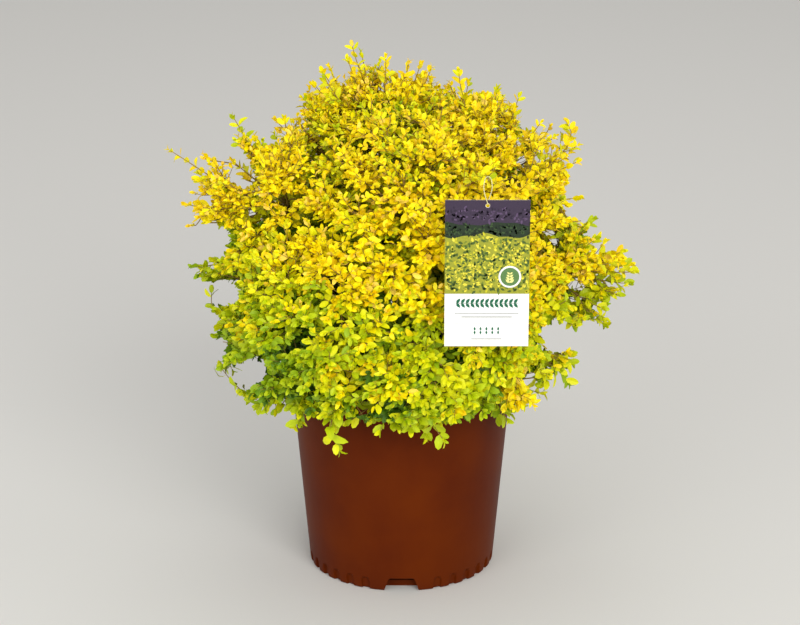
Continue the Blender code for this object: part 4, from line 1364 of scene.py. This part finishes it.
# The tag's print, in shares of its width and height from its middle
PRINT_LIFT = 0.00004
PRINT_SHADES = (0.94, 1.06)
PRINT_EDGE = 0.497
PICTURE_FOOT = -0.137
HOLE_HEIGHT = 0.5 - TAG_HOLE_DROP / TAG_HEIGHT
HOLE_MARGIN = 0.027
DUSK = ((56, 44, 64), (40, 30, 48), (88, 70, 98))
HEDGE = ((32, 48, 28), (20, 34, 20), (56, 78, 42))
BANK = ((150, 152, 44), (196, 190, 40), (108, 126, 40), (224, 212, 66), (70, 92, 36))
BADGE = ((236, 236, 230), (88, 124, 70), (236, 228, 140))
INK_GREEN = (22, 96, 68)
INK_GREY = (120, 122, 122)


def print_layer(name, outlines, colour, level, side=-1):
    """Flat printed shapes of one colour on the tag's front, or with side 1 on its back."""
    y = side * (TAG_THICKNESS / 2 + PRINT_LIFT * level)
    points, faces = [], []
    for outline in outlines:
        first = len(points)
        points += [(x * TAG_WIDTH, y, z * TAG_HEIGHT) for x, z in outline]
        faces.append(range(first, len(points)))
    data = bpy.data.meshes.new(name)
    data.from_pydata(points, [], [list(face) for face in faces])
    shades = [[min(255, value * share) for value in colour] for share in PRINT_SHADES]
    data.materials.append(mottled(name, shades, 0.0012, (0.34, 0.46), (0.05, 0.00005), specular=0.3))
    made = bpy.data.objects.new(name, data)
    made.location = TAG_CENTRE
    bpy.context.scene.collection.objects.link(made)
    finished(made, "tag_card")


def wave(x, height, size, phase):
    """The height of a wavy edge across the tag."""
    return height + size * (math.sin(9 * x + phase) + 0.4 * math.sin(23 * x + phase))


def band(low, high, size=0.0, count=24, phase=0.0):
    """A band across the tag whose upper edge is a wave."""
    top = [(i / count - 0.5, wave(i / count - 0.5, high, size, phase)) for i in range(count + 1)]
    return [(-0.5, low), (0.5, low)] + top[::-1]


def disc(x, z, radius, count=28):
    """A round spot on the tag."""
    tall = TAG_WIDTH / TAG_HEIGHT
    turns = [2 * math.pi * i / count for i in range(count)]
    return [(x + radius * math.cos(a), z + radius * tall * math.sin(a)) for a in turns]


def header(side):
    """One half of the top band, cut out round the hole."""
    tall = TAG_WIDTH / TAG_HEIGHT
    turns = [math.pi * (i / 12 - 0.5) for i in range(13)]
    rim = [(HOLE_MARGIN * math.cos(a), HOLE_HEIGHT + HOLE_MARGIN * tall * math.sin(a)) for a in turns]
    outline = [(0, 0.40), (0.5, 0.40), (0.5, 0.5), (0, 0.5), *rim[::-1]]
    return [(side * x, z) for x, z in outline][::side]


def leaf_spot(x, z, length, turn):
    """A small pointed leaf shape on the tag."""
    tall = TAG_WIDTH / TAG_HEIGHT
    outline = []
    for run, across in ((0, 0), (0.3, 0.24), (0.6, 0.22), (1, 0), (0.6, -0.22), (0.3, -0.24)):
        u = length * (run * math.cos(turn) - across * math.sin(turn))
        w = length * (run * math.sin(turn) + across * math.cos(turn))
        outline.append((min(max(x + u, -PRINT_EDGE), PRINT_EDGE), z + w * tall))
    return outline


def leaf_spots(rng, count, low, high, sizes, size=0.0, phase=0.0):
    """Leaf shapes strewn over a band of the tag, under its wavy edge."""
    spots = []
    for _ in range(count):
        x = rng.uniform(-PRINT_EDGE, PRINT_EDGE)
        z = rng.uniform(low, wave(x, high, size, phase) - 0.02)
        spots.append(leaf_spot(x, z, rng.uniform(*sizes), rng.uniform(0, 2 * math.pi)))
    return spots


def bar(low, high, half):
    """A plain bar across the tag."""
    return [(-half, low), (half, low), (half, high), (-half, high)]


def make_print():
    """A generic garden design on the tag: a dusky border, a dark hedge, a bright bank and a badge."""
    rng = random.Random(SEED)
    print_layer("tag_dusk", [band(PICTURE_FOOT, 0.40), header(1), header(-1)], DUSK[0], 1)
    print_layer("tag_hedge", [band(PICTURE_FOOT, 0.34, 0.010)], HEDGE[0], 2)
    print_layer("tag_bank", [band(PICTURE_FOOT, 0.26, 0.014, phase=2.0)], BANK[0], 3)
    for i, colour in enumerate(DUSK[1:]):
        print_layer(f"tag_dusk_leaves_{i}", leaf_spots(rng, 60, 0.36, 0.46, (0.03, 0.06)), colour, 4)
    for i, colour in enumerate(HEDGE[1:]):
        print_layer(f"tag_hedge_leaves_{i}", leaf_spots(rng, 70, 0.26, 0.35, (0.03, 0.06)), colour, 5)
    for i, colour in enumerate(BANK[1:]):
        spots = leaf_spots(rng, 170, PICTURE_FOOT + 0.02, 0.26, (0.03, 0.07), 0.014, 2.0)
        print_layer(f"tag_bank_leaves_{i}", spots, colour, 6 + i)
    print_layer("tag_badge_rim", [disc(0.27, -0.02, 0.135)], BADGE[0], 11)
    print_layer("tag_badge_middle", [disc(0.27, -0.02, 0.112)], BADGE[1], 12)
    sprig = []
    for i in range(4):
        for sign in (-1, 1):
            sprig.append(leaf_spot(0.27, -0.06 + i * 0.019, 0.066 - 0.008 * i, math.pi / 2 - sign * 0.9))
    print_layer("tag_badge_sprig", sprig, BADGE[2], 13)
    garland = [bar(-0.2035, -0.2000, 0.37)]
    for i in range(13):
        for turn in (0.9, -0.9):
            garland.append(leaf_spot(-0.36 + 0.057 * i, -0.2018, 0.075, turn))
    for i in range(5):
        garland.append(leaf_spot(-0.14 + 0.07 * i, -0.392, 0.05, math.pi / 2))
        garland.append(leaf_spot(-0.14 + 0.07 * i, -0.392, 0.05, -math.pi / 2))
    print_layer("tag_garland", garland, INK_GREEN, 1)
    rules = [bar(-0.276, -0.272, 0.38), bar(-0.300, -0.294, 0.30), bar(-0.346, -0.344, 0.48)]
    print_layer("tag_rules", [*rules, bar(-0.452, -0.447, 0.18)], INK_GREY, 1)
    back = [bar(z, z + 0.004, 0.36)[::-1] for z in (0.2, 0.1, 0.0, -0.1)]
    print_layer("tag_back_rules", back, INK_GREY, 1, side=1)


def make_stage():
    """A plain pale floor, wide enough to fill the picture."""
    bm = bmesh.new()
    bmesh.ops.create_circle(bm, cap_ends=True, segments=96, radius=14)
    floor = bmesh_object("floor", bm, plain("floor_pale", (226, 225, 222), 0.85, 0.2), smooth=False)


def add_area_light(name, place, target, size, power, colour):
    """A soft square light that faces a point."""
    data = bpy.data.lights.new(name, "AREA")
    data.size = size
    data.energy = power
    data.color = colour
    made = bpy.data.objects.new(name, data)
    made.location = place
    made.rotation_euler = (Vector(target) - Vector(place)).to_track_quat("-Z", "Y").to_euler()
    bpy.context.scene.collection.objects.link(made)


def make_lights():
    """Plain soft studio light: a key from the front right, a fill from the left, one from above."""
    world = bpy.data.worlds.new("studio")
    world.use_nodes = True
    world.node_tree.nodes["Background"].inputs["Color"].default_value = (1.0, 0.99, 0.97, 1)
    world.node_tree.nodes["Background"].inputs["Strength"].default_value = 0.57
    bpy.context.scene.world = world
    add_area_light("key", (1.4, -4.1, 2.4), (0, 0, 0.32), 2.5, 136, (1.0, 0.99, 0.96))
    add_area_light("fill", (-2.3, -3.6, 1.6), (0, 0, 0.30), 3.1, 64, (0.97, 0.98, 1.0))
    add_area_light("top", (0.3, 1.8, 3.8), (0, 0, 0.35), 2.7, 12, (1.0, 0.98, 0.95))


def make_camera():
    """The photograph's viewpoint: in front of the plant, looking down at it a little."""
    data = bpy.data.cameras.new("camera")
    data.lens = 105.97
    data.sensor_width = 36
    made = bpy.data.objects.new("camera", data)
    made.location = (-0.0016, -2.4, 1.04)
    made.rotation_euler = (math.radians(72.427), 0, 0)
    bpy.context.scene.collection.objects.link(made)
    bpy.context.scene.camera = made


make_camera()
make_stage()
make_lights()
bpy.context.scene.view_settings.view_transform = "Standard"

leaf_finishes = [plain("leaf_" + name, colour, 0.50, 0.25) for name, colour in TONES]
twig_finishes = [
    plain("twig_brown", (104, 82, 58), 0.80, 0.2),
    plain("twig_young", (150, 124, 62), 0.70, 0.2),
]
bark_finish = mottled(
    "bark_grey", ((92, 78, 62), (132, 116, 94), (160, 146, 122)), 0.004, (0.75, 0.92), (0.5, 0.0006)
)
pot_finish = mottled(
    "pot_moulded", ((82, 27, 3), (90, 32, 2), (96, 36, 1)), 0.07, (0.44, 0.52), (0.08, 0.0004),
    specular=0.06,
)
soil_finish = mottled(
    "mix_dark", ((28, 20, 14), (48, 34, 24), (78, 58, 42)), 0.003, (0.9, 1.0), (0.9, 0.0015)
)
chip_finish = mottled(
    "mix_bark", ((52, 34, 22), (86, 58, 38), (122, 88, 60)), 0.006, (0.85, 0.95), (0.4, 0.0005)
)
card_finish = mottled(
    "card_white", ((240, 240, 236), (246, 246, 243)), 0.002, (0.30, 0.38), (0.04, 0.0001), coat=0.2
)
tie_finish = mottled(
    "tie_pale", ((214, 208, 150), (232, 228, 180)), 0.001, (0.5, 0.7), (0.2, 0.0001)
)

grow_mains()
grow_long_shoots()
grow_hook()
grow_branchlets()
grow_inside()
leaf_total = 0
for one in all_masses:
    leaf_total += dress_mass(one, leaf_finishes, twig_finishes)
print("leaves", leaf_total)
make_limbs(bark_finish)
make_pot(pot_finish)
make_chips(chip_finish)
frame["nodes"]["soil"].data.materials.clear()
frame["nodes"]["soil"].data.materials.append(soil_finish)
frame["nodes"]["hang_tag"].data.materials.clear()
frame["nodes"]["hang_tag"].data.materials.append(card_finish)
make_loop(tie_finish)
make_print()
